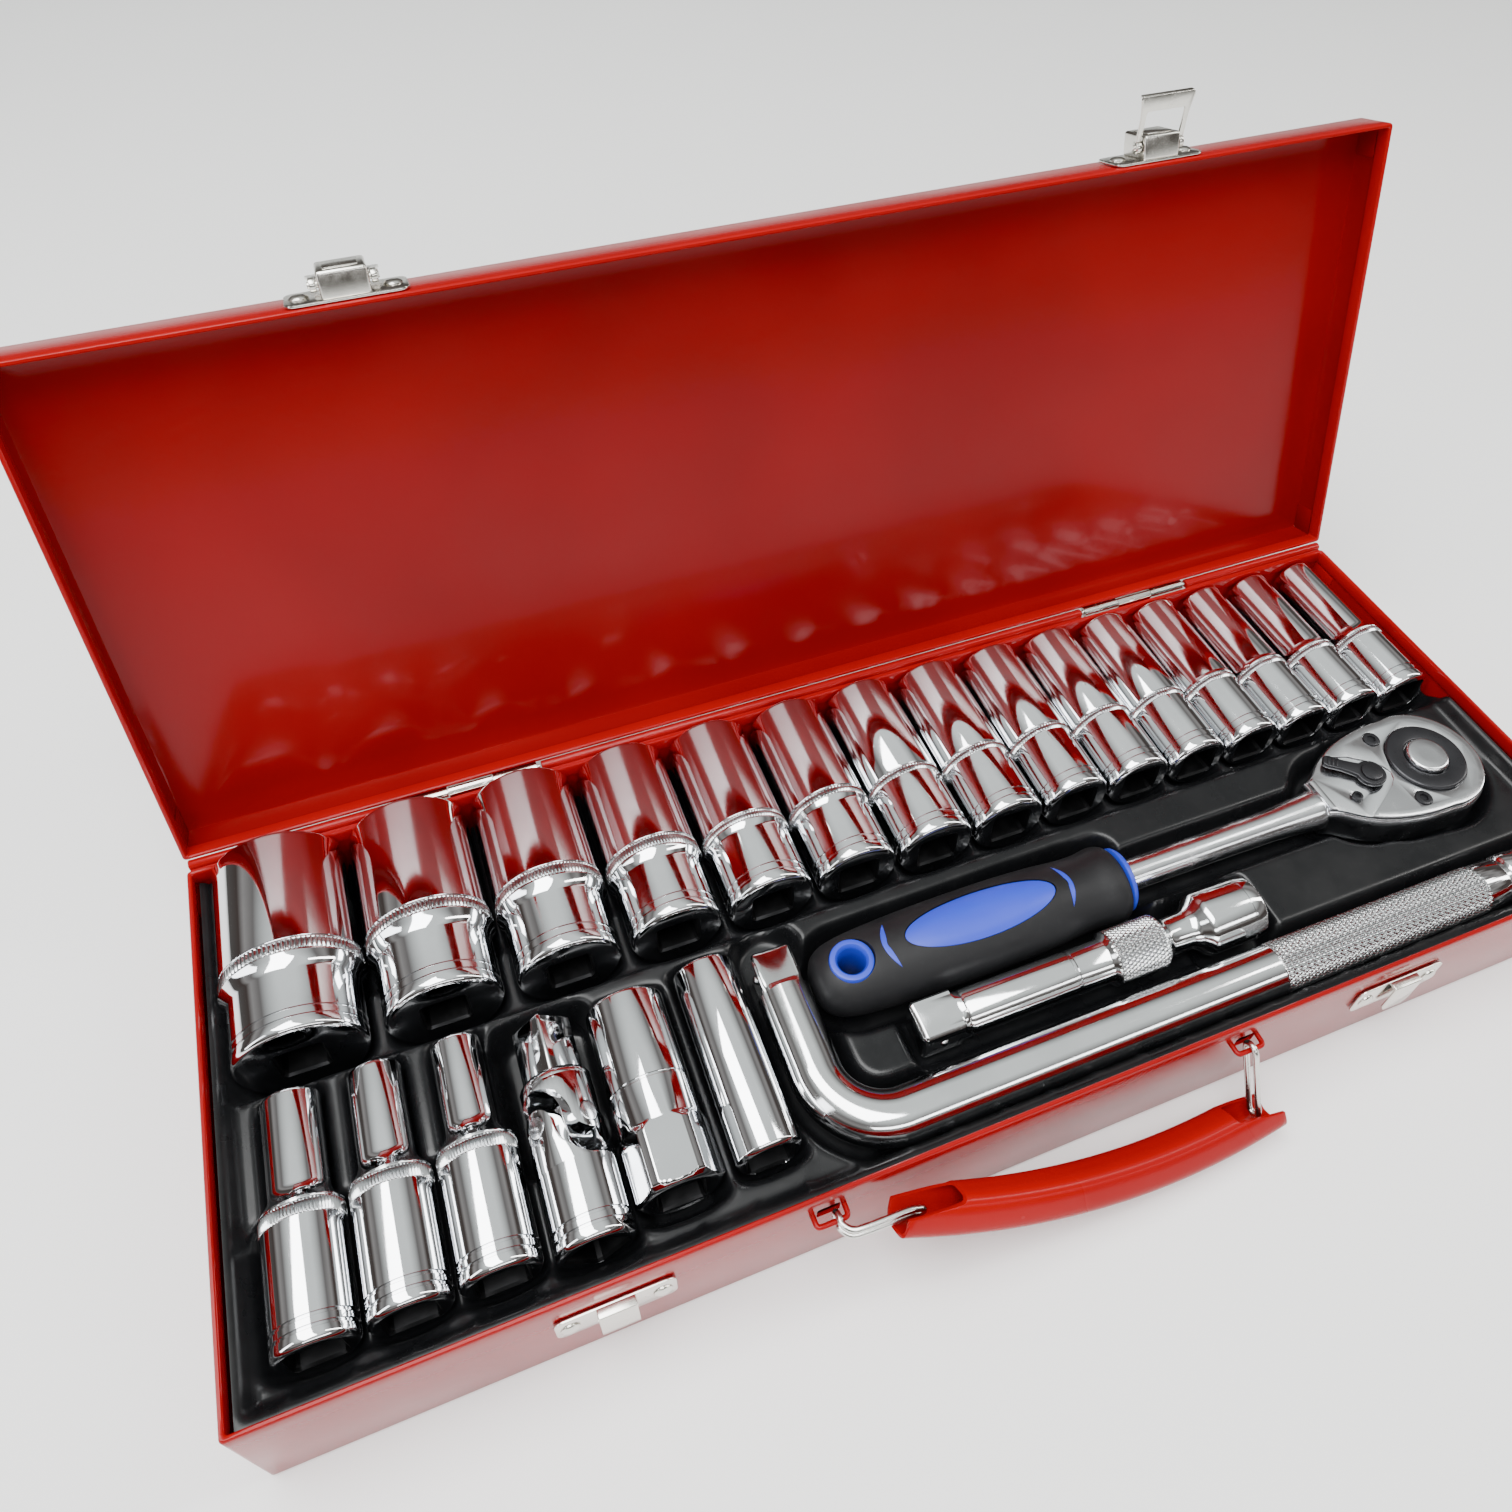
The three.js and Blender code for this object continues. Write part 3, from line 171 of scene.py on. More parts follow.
# ---- mesh helpers ----
def build(name, verts, faces, materials, indices=None, sharp=32):
    """A mesh object from millimetre points; indices gives each face's material."""
    mesh = bpy.data.meshes.new(name)
    mesh.from_pydata((np.asarray(verts, float) * MM).tolist(), [], faces)
    for m in materials:
        mesh.materials.append(m)
    if indices is not None:
        mesh.polygons.foreach_set("material_index", np.asarray(indices, np.int32))
    bm = bmesh.new()
    bm.from_mesh(mesh)
    bmesh.ops.recalc_face_normals(bm, faces=bm.faces[:])
    bm.to_mesh(mesh)
    bm.free()
    made = bpy.data.objects.new(name, mesh)
    bpy.context.scene.collection.objects.link(made)
    smooth(made, sharp)
    return made


def smooth(made, sharp):
    mesh = made.data
    mesh.polygons.foreach_set("use_smooth", np.ones(len(mesh.polygons), bool))
    if sharp < 180:
        mesh.set_sharp_from_angle(angle=math.radians(sharp))
    mesh.update()


def place(made, body, nodes):
    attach(made, body)
    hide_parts(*nodes)


def rings(levels, closed=False):
    """Points and faces that join rings of equal counts, each an array of points, in order."""
    count = len(levels[0])
    verts = np.concatenate(levels)
    faces = []
    last = len(levels) if closed else len(levels) - 1
    turn = np.arange(count)
    after = (turn + 1) % count
    for i in range(last):
        a = i * count
        b = ((i + 1) % len(levels)) * count
        faces += np.stack([a + turn, a + after, b + after, b + turn], 1).tolist()
    if not closed:
        faces.append(turn[::-1].tolist())
        faces.append((turn + last * count).tolist())
    return verts, faces


def angles(count):
    return np.arange(count) * TAU / count


def around(axis, centre, along, radius, count):
    """One ring about an axis: radius is a number or an array with one value for each point."""
    a = angles(count)
    r = np.broadcast_to(radius, count)
    u, v, w = r * np.sin(a), r * np.cos(a), np.full(count, float(along))
    if axis == "y":
        return np.stack([centre[0] + u, w, centre[1] + v], 1)
    if axis == "x":
        return np.stack([w, centre[0] - u, centre[1] + v], 1)
    return np.stack([centre[0] - u, centre[1] + v, w], 1)


def polygon(count, sides, apothem, corner, turn=0.0):
    """Radii round a regular polygon with its corners blunted at radius corner."""
    step = TAU / sides
    a = (angles(count) - turn) % step - step / 2
    return np.minimum(apothem / np.cos(a), corner)


def ridges(count, number, depth):
    """Straight knurling: radii that rise and fall number times round."""
    phase = (angles(count) * number / TAU) % 1
    return -depth * np.abs(2 * phase - 1)


def turned(name, axis, centre, profile, count, materials, closed=False, sharp=32, looks=None):
    """profile is a list of (along, radius); looks gives the material of the band that follows each ring."""
    levels = [around(axis, centre, along, radius, count) for along, radius in profile]
    verts, faces = rings(levels, closed)
    indices = None
    if looks is not None:
        indices = [looks[i // count] for i in range(count * (len(profile) if closed else len(profile) - 1))]
        indices += [looks[0], looks[-1]] if not closed else []
    return build(name, verts, faces, materials, indices, sharp)


def round_box(low, high, radius=0.4, segments=3):
    """A box with rounded edges, as a bmesh."""
    bm = bmesh.new()
    bmesh.ops.create_cube(bm, size=1)
    size = [h - l for l, h in zip(low, high)]
    middle = [(h + l) / 2 for l, h in zip(low, high)]
    bmesh.ops.scale(bm, vec=size, verts=bm.verts)
    bmesh.ops.translate(bm, vec=middle, verts=bm.verts)
    offset = min(radius, 0.49 * min(size))
    bmesh.ops.bevel(bm, geom=bm.edges[:], offset=offset, segments=segments, profile=0.5, affect="EDGES")
    return bm


def slab(points, low, high, bevel=0.3, segments=2, axis="z"):
    """A flat outline given thickness, with softened rims. axis is the way it is thick."""
    bm = bmesh.new()
    order = {
        "z": lambda p, t: (p[0], p[1], t),
        "y": lambda p, t: (p[0], t, p[1]),
        "x": lambda p, t: (t, p[0], p[1]),
    }[axis]
    bottom = [bm.verts.new(order(p, low)) for p in points]
    top = [bm.verts.new(order(p, high)) for p in points]
    bm.faces.new(bottom[::-1])
    bm.faces.new(top)
    n = len(points)
    for i in range(n):
        bm.faces.new([bottom[i], bottom[(i + 1) % n], top[(i + 1) % n], top[i]])
    bmesh.ops.recalc_face_normals(bm, faces=bm.faces[:])
    if bevel:
        thick = "xyz".index(axis)
        rims = [e for e in bm.edges if len({round(v.co[thick], 4) for v in e.verts}) == 1]
        bmesh.ops.bevel(bm, geom=rims, offset=bevel, segments=segments, profile=0.5, affect="EDGES")
    return bm


def cylinder(axis, centre, low, high, radius, bevel=0.3, count=48):
    """A solid rod with softened rims, as a bmesh."""
    steps = [(low, radius - bevel), (low + 0.3 * bevel, radius - 0.3 * bevel), (low + bevel, radius)]
    steps += [(high - bevel, radius), (high - 0.3 * bevel, radius - 0.3 * bevel), (high, radius - bevel)]
    return lathe(axis, centre, steps, count)


def from_data(verts, faces):
    bm = bmesh.new()
    made = [bm.verts.new(v) for v in verts]
    for f in faces:
        bm.faces.new([made[i] for i in f])
    bmesh.ops.recalc_face_normals(bm, faces=bm.faces[:])
    return bm


def loft(levels, closed=False):
    """A solid through rings of points, as a bmesh."""
    return from_data(*rings(levels, closed))


def lathe(axis, centre, profile, count, closed=False):
    """A turned solid from (along, radius) pairs, as a bmesh."""
    return loft([around(axis, centre, along, radius, count) for along, radius in profile], closed)


def gather(name, parts, materials, matrix=None, sharp=32):
    """One object from several bmeshes in millimetres. Every face starts with the first material."""
    verts, faces = [], []
    for bm in parts:
        start = len(verts)
        bm.verts.index_update()
        verts += [v.co.copy() for v in bm.verts]
        faces += [[v.index + start for v in f.verts] for f in bm.faces]
        bm.free()
    if matrix:
        verts = [matrix @ v for v in verts]
    return build(name, verts, faces, materials, None, sharp)


def tube(points, radius, sides=16, closed=False):
    """A round wire along points, with frames carried along it so that it doesn't twist."""
    p = np.asarray(points, float)
    n = len(p)
    if closed:
        tangent = np.roll(p, -1, 0) - np.roll(p, 1, 0)
    else:
        tangent = np.gradient(p, axis=0)
    tangent /= np.linalg.norm(tangent, axis=1)[:, None]
    side = np.cross(tangent[0], (0.123, 0.456, 0.88))
    side /= np.linalg.norm(side)
    levels = []
    a = angles(sides)
    for i in range(n):
        side = side - tangent[i] * (side @ tangent[i])
        side /= np.linalg.norm(side)
        up = np.cross(tangent[i], side)
        levels.append(p[i] + radius * (np.outer(np.cos(a), side) + np.outer(np.sin(a), up)))
    if closed:
        # share out the angle left over between the last frame and the first
        first = levels[0][0] - p[0]
        carried = side - tangent[0] * (side @ tangent[0])
        gap = math.atan2(np.cross(carried, first) @ tangent[0], carried @ first)
        for i in range(n):
            turn = Matrix.Rotation(gap * i / n, 3, Vector(tangent[i]))
            levels[i] = (levels[i] - p[i]) @ np.array(turn).T + p[i]
    return rings(levels, closed)


def spline(points, steps, closed=False):
    """A smooth curve through points, as steps points for each span."""
    p = np.asarray(points, float)
    n = len(p)
    out = []
    for i in range(n if closed else n - 1):
        a = p[(i - 1) % n] if closed or i else 2 * p[0] - p[1]
        b, c = p[i], p[(i + 1) % n]
        d = p[(i + 2) % n] if closed or i + 2 < n else 2 * p[-1] - p[-2]
        for t in np.arange(steps) / steps:
            square, cube = (2 * a - 5 * b + 4 * c - d) * t**2, (3 * b - a - 3 * c + d) * t**3
            out.append(0.5 * (2 * b + (c - a) * t + square + cube))
    if not closed:
        out.append(p[-1])
    return np.array(out)


def carve(made, *cutters, keep=False):
    """Cuts each cutter out of made, or keeps only what they share, and removes the cutters."""
    for cutter in cutters:
        modifier = made.modifiers.new("cut", "BOOLEAN")
        modifier.operation = "INTERSECT" if keep else "DIFFERENCE"
        modifier.solver = "EXACT"
        modifier.object = cutter
        graph = bpy.context.evaluated_depsgraph_get()
        result = bpy.data.meshes.new_from_object(made.evaluated_get(graph))
        made.modifiers.clear()
        old = made.data
        made.data = result
        bpy.data.meshes.remove(old)
        bpy.data.objects.remove(cutter)


def soften(made, width, angle=35, segments=2, sharp=40):
    """Rounds every edge sharper than angle."""
    modifier = made.modifiers.new("round", "BEVEL")
    modifier.width = width * MM
    modifier.segments = segments
    modifier.limit_method = "ANGLE"
    modifier.angle_limit = math.radians(angle)
    modifier.use_clamp_overlap = True
    graph = bpy.context.evaluated_depsgraph_get()
    result = bpy.data.meshes.new_from_object(made.evaluated_get(graph))
    made.modifiers.clear()
    made.data = result
    smooth(made, sharp)
    return made


def mm_box(node):
    low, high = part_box(node)
    return [v / MM for v in low], [v / MM for v in high]


# ---- case ----
HALF = (220.0, 81.0)
BASE_RIM = 42.5
LID_RIM = 42.8
LID_TOP = 58.0
HINGE_LINE = (82.9, 42.65)
HINGE = Vector((0, *HINGE_LINE))
LID_OPEN = math.radians(-105.7)
STAPLE_X = 67.5
TO_LID = Matrix.Translation(HINGE) @ Matrix.Rotation(LID_OPEN, 4, "X") @ Matrix.Translation(-HINGE)


def corner_rect(inset, r, z):
    """A rectangle with rounded corners, inset from the case's outline."""
    per_corner, per_side = 8, (60, 24)
    x, y = HALF[0] - inset, HALF[1] - inset
    points = []
    corners = [(x - r, y - r, 0), (-x + r, y - r, 90), (-x + r, -y + r, 180), (x - r, -y + r, 270)]
    for i, (cx, cy, start) in enumerate(corners):
        arc = [math.radians(start + 90 * k / per_corner) for k in range(per_corner + 1)]
        points += [(cx + r * math.cos(a), cy + r * math.sin(a), z) for a in arc]
        nx, ny, after = corners[(i + 1) % 4]
        a = math.radians(after)
        here, there = points[-1], (nx + r * math.cos(a), ny + r * math.sin(a), z)
        count = per_side[i % 2]
        points += [tuple(h + (t - h) * k / count for h, t in zip(here, there)) for k in range(1, count)]
    return np.array(points)


def sheet_tray(closed_z, rim_z):
    """An open tray of painted sheet whose rim is folded back inside as a hem."""
    up = 1 if rim_z > closed_z else -1
    rim = abs(rim_z - closed_z)
    # each level is (inset, corner radius, distance from the closed side)
    levels = [(9, 3, 0), (1.2, 1.6, 0), (0.55, 1.5, 0.16), (0.16, 1.4, 0.55), (0, 1.3, 1.2)]
    levels += [(0, 1.3, rim - 4.8), (0, 1.3, rim - 0.8), (0.14, 1.2, rim - 0.3), (0.42, 1.1, rim)]
    levels += [(1.1, 0.9, rim), (1.45, 0.8, rim - 0.3), (1.6, 0.7, rim - 0.8), (1.6, 0.7, rim - 4.6)]
    levels += [(1.5, 0.7, rim - 5.0), (1.0, 0.8, rim - 5.2), (1.0, 0.8, 2.2), (1.25, 0.8, 1.45)]
    levels += [(2.0, 0.8, 1.15), (9, 2, 1.0)]
    return loft([corner_rect(i, r, closed_z + up * h) for i, r, h in levels])


def corner_tabs(low, high):
    """The folded flanges that lap inside each corner, low and high being the heights they span."""
    tabs = []
    for sx in (-1, 1):
        for sy in (-1, 1):
            x0, x1 = sorted((sx * (HALF[0] - 1.05), sx * (HALF[0] - 1.45)))
            y = sy * (HALF[1] - 1.05)
            y0, y1 = sorted((y, y - sy * 11))
            tabs.append(round_box((x0, y0, low), (x1, y1, high), 0.18, 2))
    return tabs


base = gather("case_base_shell", [sheet_tray(0, BASE_RIM)] + corner_tabs(3, 36.5), [PAINT_CASE])
for x in (-STAPLE_X, STAPLE_X):
    room = round_box((x - 3.4, -83, 29.2), (x + 3.4, -78.5, 34.8), 0.9, 3)
    carve(base, gather("slot", [room], [PAINT_CASE]))
smooth(base, 40)
place(base, "case", ["case_base"])

staples = []
for x in (-STAPLE_X, STAPLE_X):
    half = [(-4.6, -80.4), (-4.6, -82.4), (-4.45, -83.7), (-3.6, -84.4), (0, -84.45)]
    path = [(x + u, v, 32) for u, v in half] + [(x - u, v, 32) for u, v in half[-2::-1]]
    staples.append(from_data(*tube(spline(path, 6), 0.8)))
wires = gather("handle_staples", staples, [PAINT_CASE])
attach(wires, "case")

rolls = []
for low, high in ((-219, -154), (-106, 106), (154, 219)):
    rolls.append(cylinder("x", HINGE_LINE, low, high, 1.72, 0.4, 32))
    rolls.append(round_box((low + 0.2, 80.4, 41.0), (high - 0.2, 82.9, 42.4), 0.3, 2))
rolled = gather("rolled_hinge_edge", rolls, [PAINT_CASE])
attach(rolled, "case")

parts = [sheet_tray(LID_TOP, LID_RIM)] + corner_tabs(48.2, 56.4)
lid = gather("case_lid_shell", parts, [PAINT_LID, PAINT_CASE], TO_LID)
# the rim and the outside are the brighter coat, the inside the deeper one
back = TO_LID.inverted()
for face in lid.data.polygons:
    c = back @ (face.center / MM)
    inside = abs(c.x) < HALF[0] - 0.9 and abs(c.y) < HALF[1] - 0.9 and LID_RIM + 4 < c.z < LID_TOP - 0.5
    face.material_index = 0 if inside else 1
place(lid, "lid", ["case_lid"])


# ---- latches and hinges ----
PLATE_BACK = -81.3
PLATE_FRONT = -82.1
PLATE_HALF = 16.3
RIVET_X = 12.4
LATCH_X = 127
LATCH_PIVOT = (-85.9, 46.5)


def rivet(x, z):
    steps = [(0.3, 2.7), (-0.35, 2.65), (-0.7, 2.3), (-1.05, 1.5), (-1.1, 0.8)]
    return lathe("y", (x, z), [(PLATE_FRONT + a, r) for a, r in steps], 32)


def plate(x, low, high, rivet_z):
    """A plate with rounded corners and a rivet at either end."""
    half, corner = PLATE_HALF, 2.6
    points = []
    for cx, cz, start in (
        (x + half - corner, high - corner, 0),
        (x - half + corner, high - corner, 90),
        (x - half + corner, low + corner, 180),
        (x + half - corner, low + corner, 270),
    ):
        for k in range(7):
            a = math.radians(start + 15 * k)
            points.append((cx + corner * math.cos(a), cz + corner * math.sin(a)))
    sheet = slab(points, PLATE_FRONT, PLATE_BACK, 0.22, 2, "y")
    return [sheet, rivet(x - RIVET_X, rivet_z), rivet(x + RIVET_X, rivet_z)]


for side, s in (("left", -1), ("right", 1)):
    x = LATCH_X * s
    low, top = LID_RIM + 0.8, LID_RIM + 13.8
    parts = plate(x, low, top, LID_RIM + 7.3) + [
        round_box((x - 6.6, -89.6, low + 0.2), (x + 6.6, PLATE_FRONT + 0.2, top - 0.6), 0.9, 4),
        round_box((x - 4.6, -89.95, low + 2.4), (x + 4.6, -89.4, top - 3.0), 0.26, 2),
        cylinder("x", LATCH_PIVOT, x - 9.3, x - 6.4, 0.9, 0.2, 20),
        cylinder("x", LATCH_PIVOT, x + 6.4, x + 9.3, 0.9, 0.2, 20),
    ]
    made = gather("latch_housing_" + side, parts, [NICKEL], TO_LID)
    place(made, "lid", ["latch_plate_" + side])

    half = 5.2
    foot = half - (1.6 if side == "right" else 0.0)
    tab = [(x - foot, 17.4), (x + foot, 17.4), (x + half, 20.5), (x + half, 31.2)]
    tab += [(x - half, 31.2), (x - half, 20.5)]
    parts = plate(x, 19.5, 32.0, 25.8) + [
        slab(tab, -84.7, -83.9, 0.22, 2, "y"),
        round_box((x - half, -84.7, 30.9), (x + half, PLATE_FRONT + 0.2, 32.0), 0.35, 3),
    ]
    made = gather("catch_" + side, parts, [NICKEL])
    place(made, "case", ["catch_plate_" + side])

    # the lever is drawn hanging from its pivot with the lid shut, then turned to where it rests
    rim = [(-8.8, 0.6), (-8.8, -9), (-9.2, -12), (-9.9, -15.2), (-9.4, -16)]
    rim += [(-u, v) for u, v in rim[::-1]]
    window = [(7.1, 0.6), (7.1, -10.5), (6.6, -11.2), (-6.6, -11.2), (-7.1, -10.5), (-7.1, 0.6)]
    parts = [
        slab(rim + window, -0.4, 0.4, 0.18, 2, "y"),
        round_box((-9.5, -1.7, -16.2), (9.5, 0.35, -15.3), 0.3, 3),
        cylinder("x", (0, 0), -8.8, -7.1, 1.9, 0.25, 32),
        cylinder("x", (0, 0), 7.1, 8.8, 1.9, 0.25, 32),
    ]
    opened = math.radians(-185 if side == "left" else -76)
    put = TO_LID @ Matrix.Translation((x, *LATCH_PIVOT)) @ Matrix.Rotation(opened, 4, "X")
    made = gather("latch_lever_plate_" + side, parts, [NICKEL], put)
    place(made, "latch_" + side, ["latch_lever_" + side])

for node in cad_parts:
    if node.startswith("hinge_"):
        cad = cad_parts[node]
        cad.data.materials.clear()
        cad.data.materials.append(NICKEL)


# ---- carrying handle ----
LOOP_HALF = 2.15
LOOP_WIRE = 0.95
GRIP_LEFT = np.array((-43, -89.8, 30.5))
GRIP_RIGHT = np.array((68.4, -95.8, 9.5))


def wire_loop(name, path, side, node):
    """Two legs on either side of a path, joined by half circles."""
    path = [np.asarray(p, float) for p in path]
    side = np.asarray(side, float)

    def round_end(tip, after, turn):
        inward = (after - tip) / np.linalg.norm(after - tip)
        centre = tip + inward * LOOP_HALF
        return [
            centre - inward * LOOP_HALF * math.cos(a) + side * turn * LOOP_HALF * math.sin(a)
            for a in np.radians((-90, -45, 0, 45, 90))
        ]

    points = round_end(path[0], path[1], 1) + [p + side * LOOP_HALF for p in path[1:-1]]
    points += round_end(path[-1], path[-2], -1) + [p - side * LOOP_HALF for p in path[-2:0:-1]]
    made = gather(name, [from_data(*tube(spline(points, 8, True), LOOP_WIRE, 16, True))], [WIRE])
    place(made, "handle_loops", [node])


crown = np.array((STAPLE_X, -84.4, 32))
reach = np.linalg.norm(GRIP_RIGHT - crown)
along = (GRIP_RIGHT - crown) / reach
across = np.cross((1, 0, 0), along)
across /= np.linalg.norm(across)
right_path = [crown + along * d for d in (-2.05, 3, 8, reach - 5, reach)]
wire_loop("handle_wire_loop_right", right_path, across, "handle_link_right")
left_path = [(-66, -82.35, 32), (-65.8, -86.2, 32), (-63.7, -88.6, 32.2), (-59.5, -89.3, 32.5)]
left_path += [GRIP_LEFT + (-5, 0.3, 1.7), GRIP_LEFT]
wire_loop("handle_wire_loop_left", left_path, (0, 0, 1), "handle_link_left")

chord = (GRIP_RIGHT - GRIP_LEFT) / np.linalg.norm(GRIP_RIGHT - GRIP_LEFT)
LIFT = np.array((0, 0.6, 0.8))
grip_start = GRIP_LEFT - chord * 7 + LIFT * 1.9
grip_stop = GRIP_RIGHT + chord * 7 + LIFT * 1.9
grip_middle = (grip_start + grip_stop) / 2 - LIFT * 18


def grip_bow(t):
    return (1 - t) ** 2 * grip_start + 2 * t * (1 - t) * grip_middle + t**2 * grip_stop


def bow_tube(half, overrun):
    """A squarish bar along the bow, as a bmesh: power 2 would be round, and higher is squarer."""
    power = 3.4
    a = angles(64)
    c, s = np.cos(a), np.sin(a)
    r = half * (np.abs(c) ** power + np.abs(s) ** power) ** (-1 / power)
    levels = []
    for t in np.linspace(-overrun, 1 + overrun, 64):
        p = grip_bow(t)
        d = grip_bow(t + 0.01) - grip_bow(t - 0.01)
        d /= np.linalg.norm(d)
        front = np.cross(LIFT, d)
        front /= np.linalg.norm(front)
        up = np.cross(d, front)
        levels.append(p + np.outer(r * c, front) + np.outer(r * s, up))
    return loft(levels)


grip = gather("handle_grip_channel", [bow_tube(6.0, 0)], [PAINT_GRIP])
carve(grip, gather("grip_bore", [bow_tube(5.0, 0.02)], [PAINT_GRIP]))
front = np.cross(LIFT, chord)
front /= np.linalg.norm(front)
basis = np.stack([chord, front, np.cross(chord, front)], 1).tolist()
basis = Matrix([(*row, 0) for row in basis] + [(0, 0, 0, 1)])
for at, d in ((GRIP_LEFT, 1), (GRIP_RIGHT, -1)):
    room = round_box((-10 + d, -7, 2.2), (10 + d, 7, 16.2), 1.6, 4)
    carve(grip, gather("mouth", [room], [PAINT_GRIP], Matrix.Translation(at.tolist()) @ basis))
soften(grip, 0.3, 50, 2, 45)
place(grip, "grip", ["handle_grip"])


# ---- sockets ----
AXIS_Z = 33.0
SEGMENTS = 288
SQUARE = polygon(SEGMENTS, 4, 6.5, 8.5, TAU / 8)
SQUARE_HALF = 6.35
DEEP_RADII = {
    32: (19.2, 21), 30: (17.6, 19.5), 27: (16.2, 17.75), 24: (14.9, 16), 22: (14.5, 15), 21: (13.9, 14.3),
    20: (13.5, 13.7), 19: (13, 13.1), 18: (12.4, 12.5), 17: (12, 12.1), 16: (11.4, 11.5), 15: (11.2, 11),
    14: (11, 10.3), 13: (11, 9.6), 12: (11, 9), 11: (11, 8.2), 10: (11, 7.7), 9: (11, 7.2),
}


def hexagon(size, grow=0.0):
    apothem = (size + 0.2) / 2 + grow
    return polygon(SEGMENTS, 6, apothem, apothem * 1.135)


def bore_rings(size, length, relief):
    """The way back through a socket from its hexagon mouth to its square one."""
    inner, square_depth = length - 26, 17
    return [
        (length - 0.05, hexagon(size, 0.75)),
        (length - 0.75, hexagon(size)),
        (inner + 0.8, hexagon(size)),
        (inner, relief + 0.3),
        (inner - 0.4, relief),
        (square_depth + 0.5, relief),
        (square_depth, SQUARE - 0.1),
        (0.9, SQUARE),
        (0.15, SQUARE + 0.7),
    ]


def knurl_band(start, stop, radius, number):
    """A knurled band with a fine groove at either side."""
    teeth = radius + 0.02 + ridges(SEGMENTS, number, 0.5)
    return [
        (start - 0.45, radius), (start - 0.4, radius - 0.3), (start, radius - 0.3),
        (start + 0.3, teeth - 0.12), (start + 0.5, teeth), (stop - 0.5, teeth), (stop - 0.3, teeth - 0.12),
        (stop, radius - 0.3), (stop + 0.4, radius - 0.3), (stop + 0.45, radius),
    ]


def cove(start, stop, r0, r1):
    """A hollow curve between two radii, steepest at its wider end."""
    out = []
    for t in np.arange(9) / 8:
        rise = 1 - math.cos(t * math.pi / 2) if r1 > r0 else math.sin(t * math.pi / 2)
        out.append((start + (stop - start) * t, r0 + (r1 - r0) * rise))
    return out


def drive_end(radius):
    """The rounded square end, with its two fine grooves."""
    return [
        (0.0, radius - 1.7), (0.06, radius - 1.35), (0.3, radius - 0.85), (0.75, radius - 0.4),
        (1.3, radius - 0.12), (1.9, radius), (3.3, radius), (3.5, radius - 0.4), (4.1, radius - 0.4),
        (4.3, radius),
        (5.9, radius), (6.1, radius - 0.4), (6.7, radius - 0.4), (6.9, radius),
    ]


def hex_end(radius, length, round_off):
    a = [math.radians(v) for v in (0, 20, 40, 60, 80, 90)]
    length, radius = length - round_off, radius - round_off
    return [(length + round_off * math.sin(v), radius + round_off * math.cos(v)) for v in a]


def make_socket(node, size, body, rd, rh, band):
    """rd is the radius at the drive end and rh the radius at the hexagon end."""
    low, high = mm_box(node)
    x, y, length = (low[0] + high[0]) / 2, low[1], high[1] - low[1]
    wide = max(rd, rh)
    start, stop = band
    number = 96 if wide > 14.6 else 72
    outer = drive_end(rd)
    if rh > rd + 0.3:
        flare = 1.5 * (rh - rd) + 1.5
        outer += cove(start - 0.9 - flare, start - 0.6, rd, rh)
        outer += knurl_band(start, stop, rh, number)
    else:
        outer += knurl_band(start, stop, rd, number)
        if rd > rh + 0.05:
            outer += cove(stop + 0.6, stop + 1.4 + 1.6 * (rd - rh), rd, rh)
        elif rh > rd:
            outer += [(stop + 1.0, rh)]
    outer += hex_end(rh, length, min(1.6, rh - size / 2 - 0.9))
    relief = min(size / 2, rd - 2.5)
    inside = bore_rings(size, length, relief)
    profile = [(y + a, r) for a, r in outer + inside]
    bare = len(outer)
    looks = [0] * bare + [1] * (len(inside) - 1) + [0]
    for i, (a, r) in enumerate(outer):
        if start - 0.1 < a < stop - 0.2:
            looks[i] = 2
    looks[bare - 1] = 0
    materials = [CHROME, SHADED_BORE, KNURL]
    made = turned(node + "_shell", "y", (x, AXIS_Z), profile, SEGMENTS, materials, True, 28, looks)
    place(made, body, [node])


for size, (rd, rh) in DEEP_RADII.items():
    small = size < 12
    band = (31.2, 35.0) if small else (24.6, 28.4 if size > 22 else 27.2)
    make_socket(f"deep_socket_{size}mm", size, f"socket_{size}", rd, rh, band)


PLUG_X = {16: -103.2, 14: -77.4}


def plug_socket(node, size, body, radius):
    low, high = mm_box(node)
    x, y, length = PLUG_X[size], low[1], high[1] - low[1]
    start = [(0.0, radius - 1.3), (0.15, radius - 1.0), (1.0, radius - 0.15), (1.4, radius)]
    flats, groove = [], []
    if size == 16:
        # spanner flats between two rounded shoulders
        hexed = polygon(SEGMENTS, 6, 11.7, 12.9, TAU / 12)
        start = [(1.2, radius - 2.0), (1.3, radius - 1.6)]
        for t in (0.3, 0.6, 0.9, 1.2, 1.5, 1.8, 2.1):
            start.append((1.3 + t, np.minimum(hexed, radius - 1.2 + 1.35 * t)))
        for t in (0, 0.4, 0.8, 1.2, 1.6, 2.0, 2.4):
            flats.append((17.2 + t, np.minimum(hexed, radius + 1.35 - 0.5 * t)))
        flats.append((20.2, radius + 0.02))
        groove = [(31.0, radius), (31.2, radius - 0.25), (31.8, radius - 0.25), (32.0, radius)]
    outer = start + flats + groove + hex_end(radius, length, 1.2)
    inside = bore_rings(size, length, min(size / 2, radius - 2.5))
    if size == 16:
        inside[-1] = (1.35, SQUARE + 0.5)
        inside[-2] = (2.0, SQUARE)
    profile = [(y + a, r) for a, r in outer + inside]
    looks = [0] * len(outer) + [1] * (len(inside) - 1) + [0]
    made = turned(node + "_shell", "y", (x, AXIS_Z), profile, SEGMENTS, [CHROME, SHADED_BORE], True, 28, looks)
    place(made, body, [node])


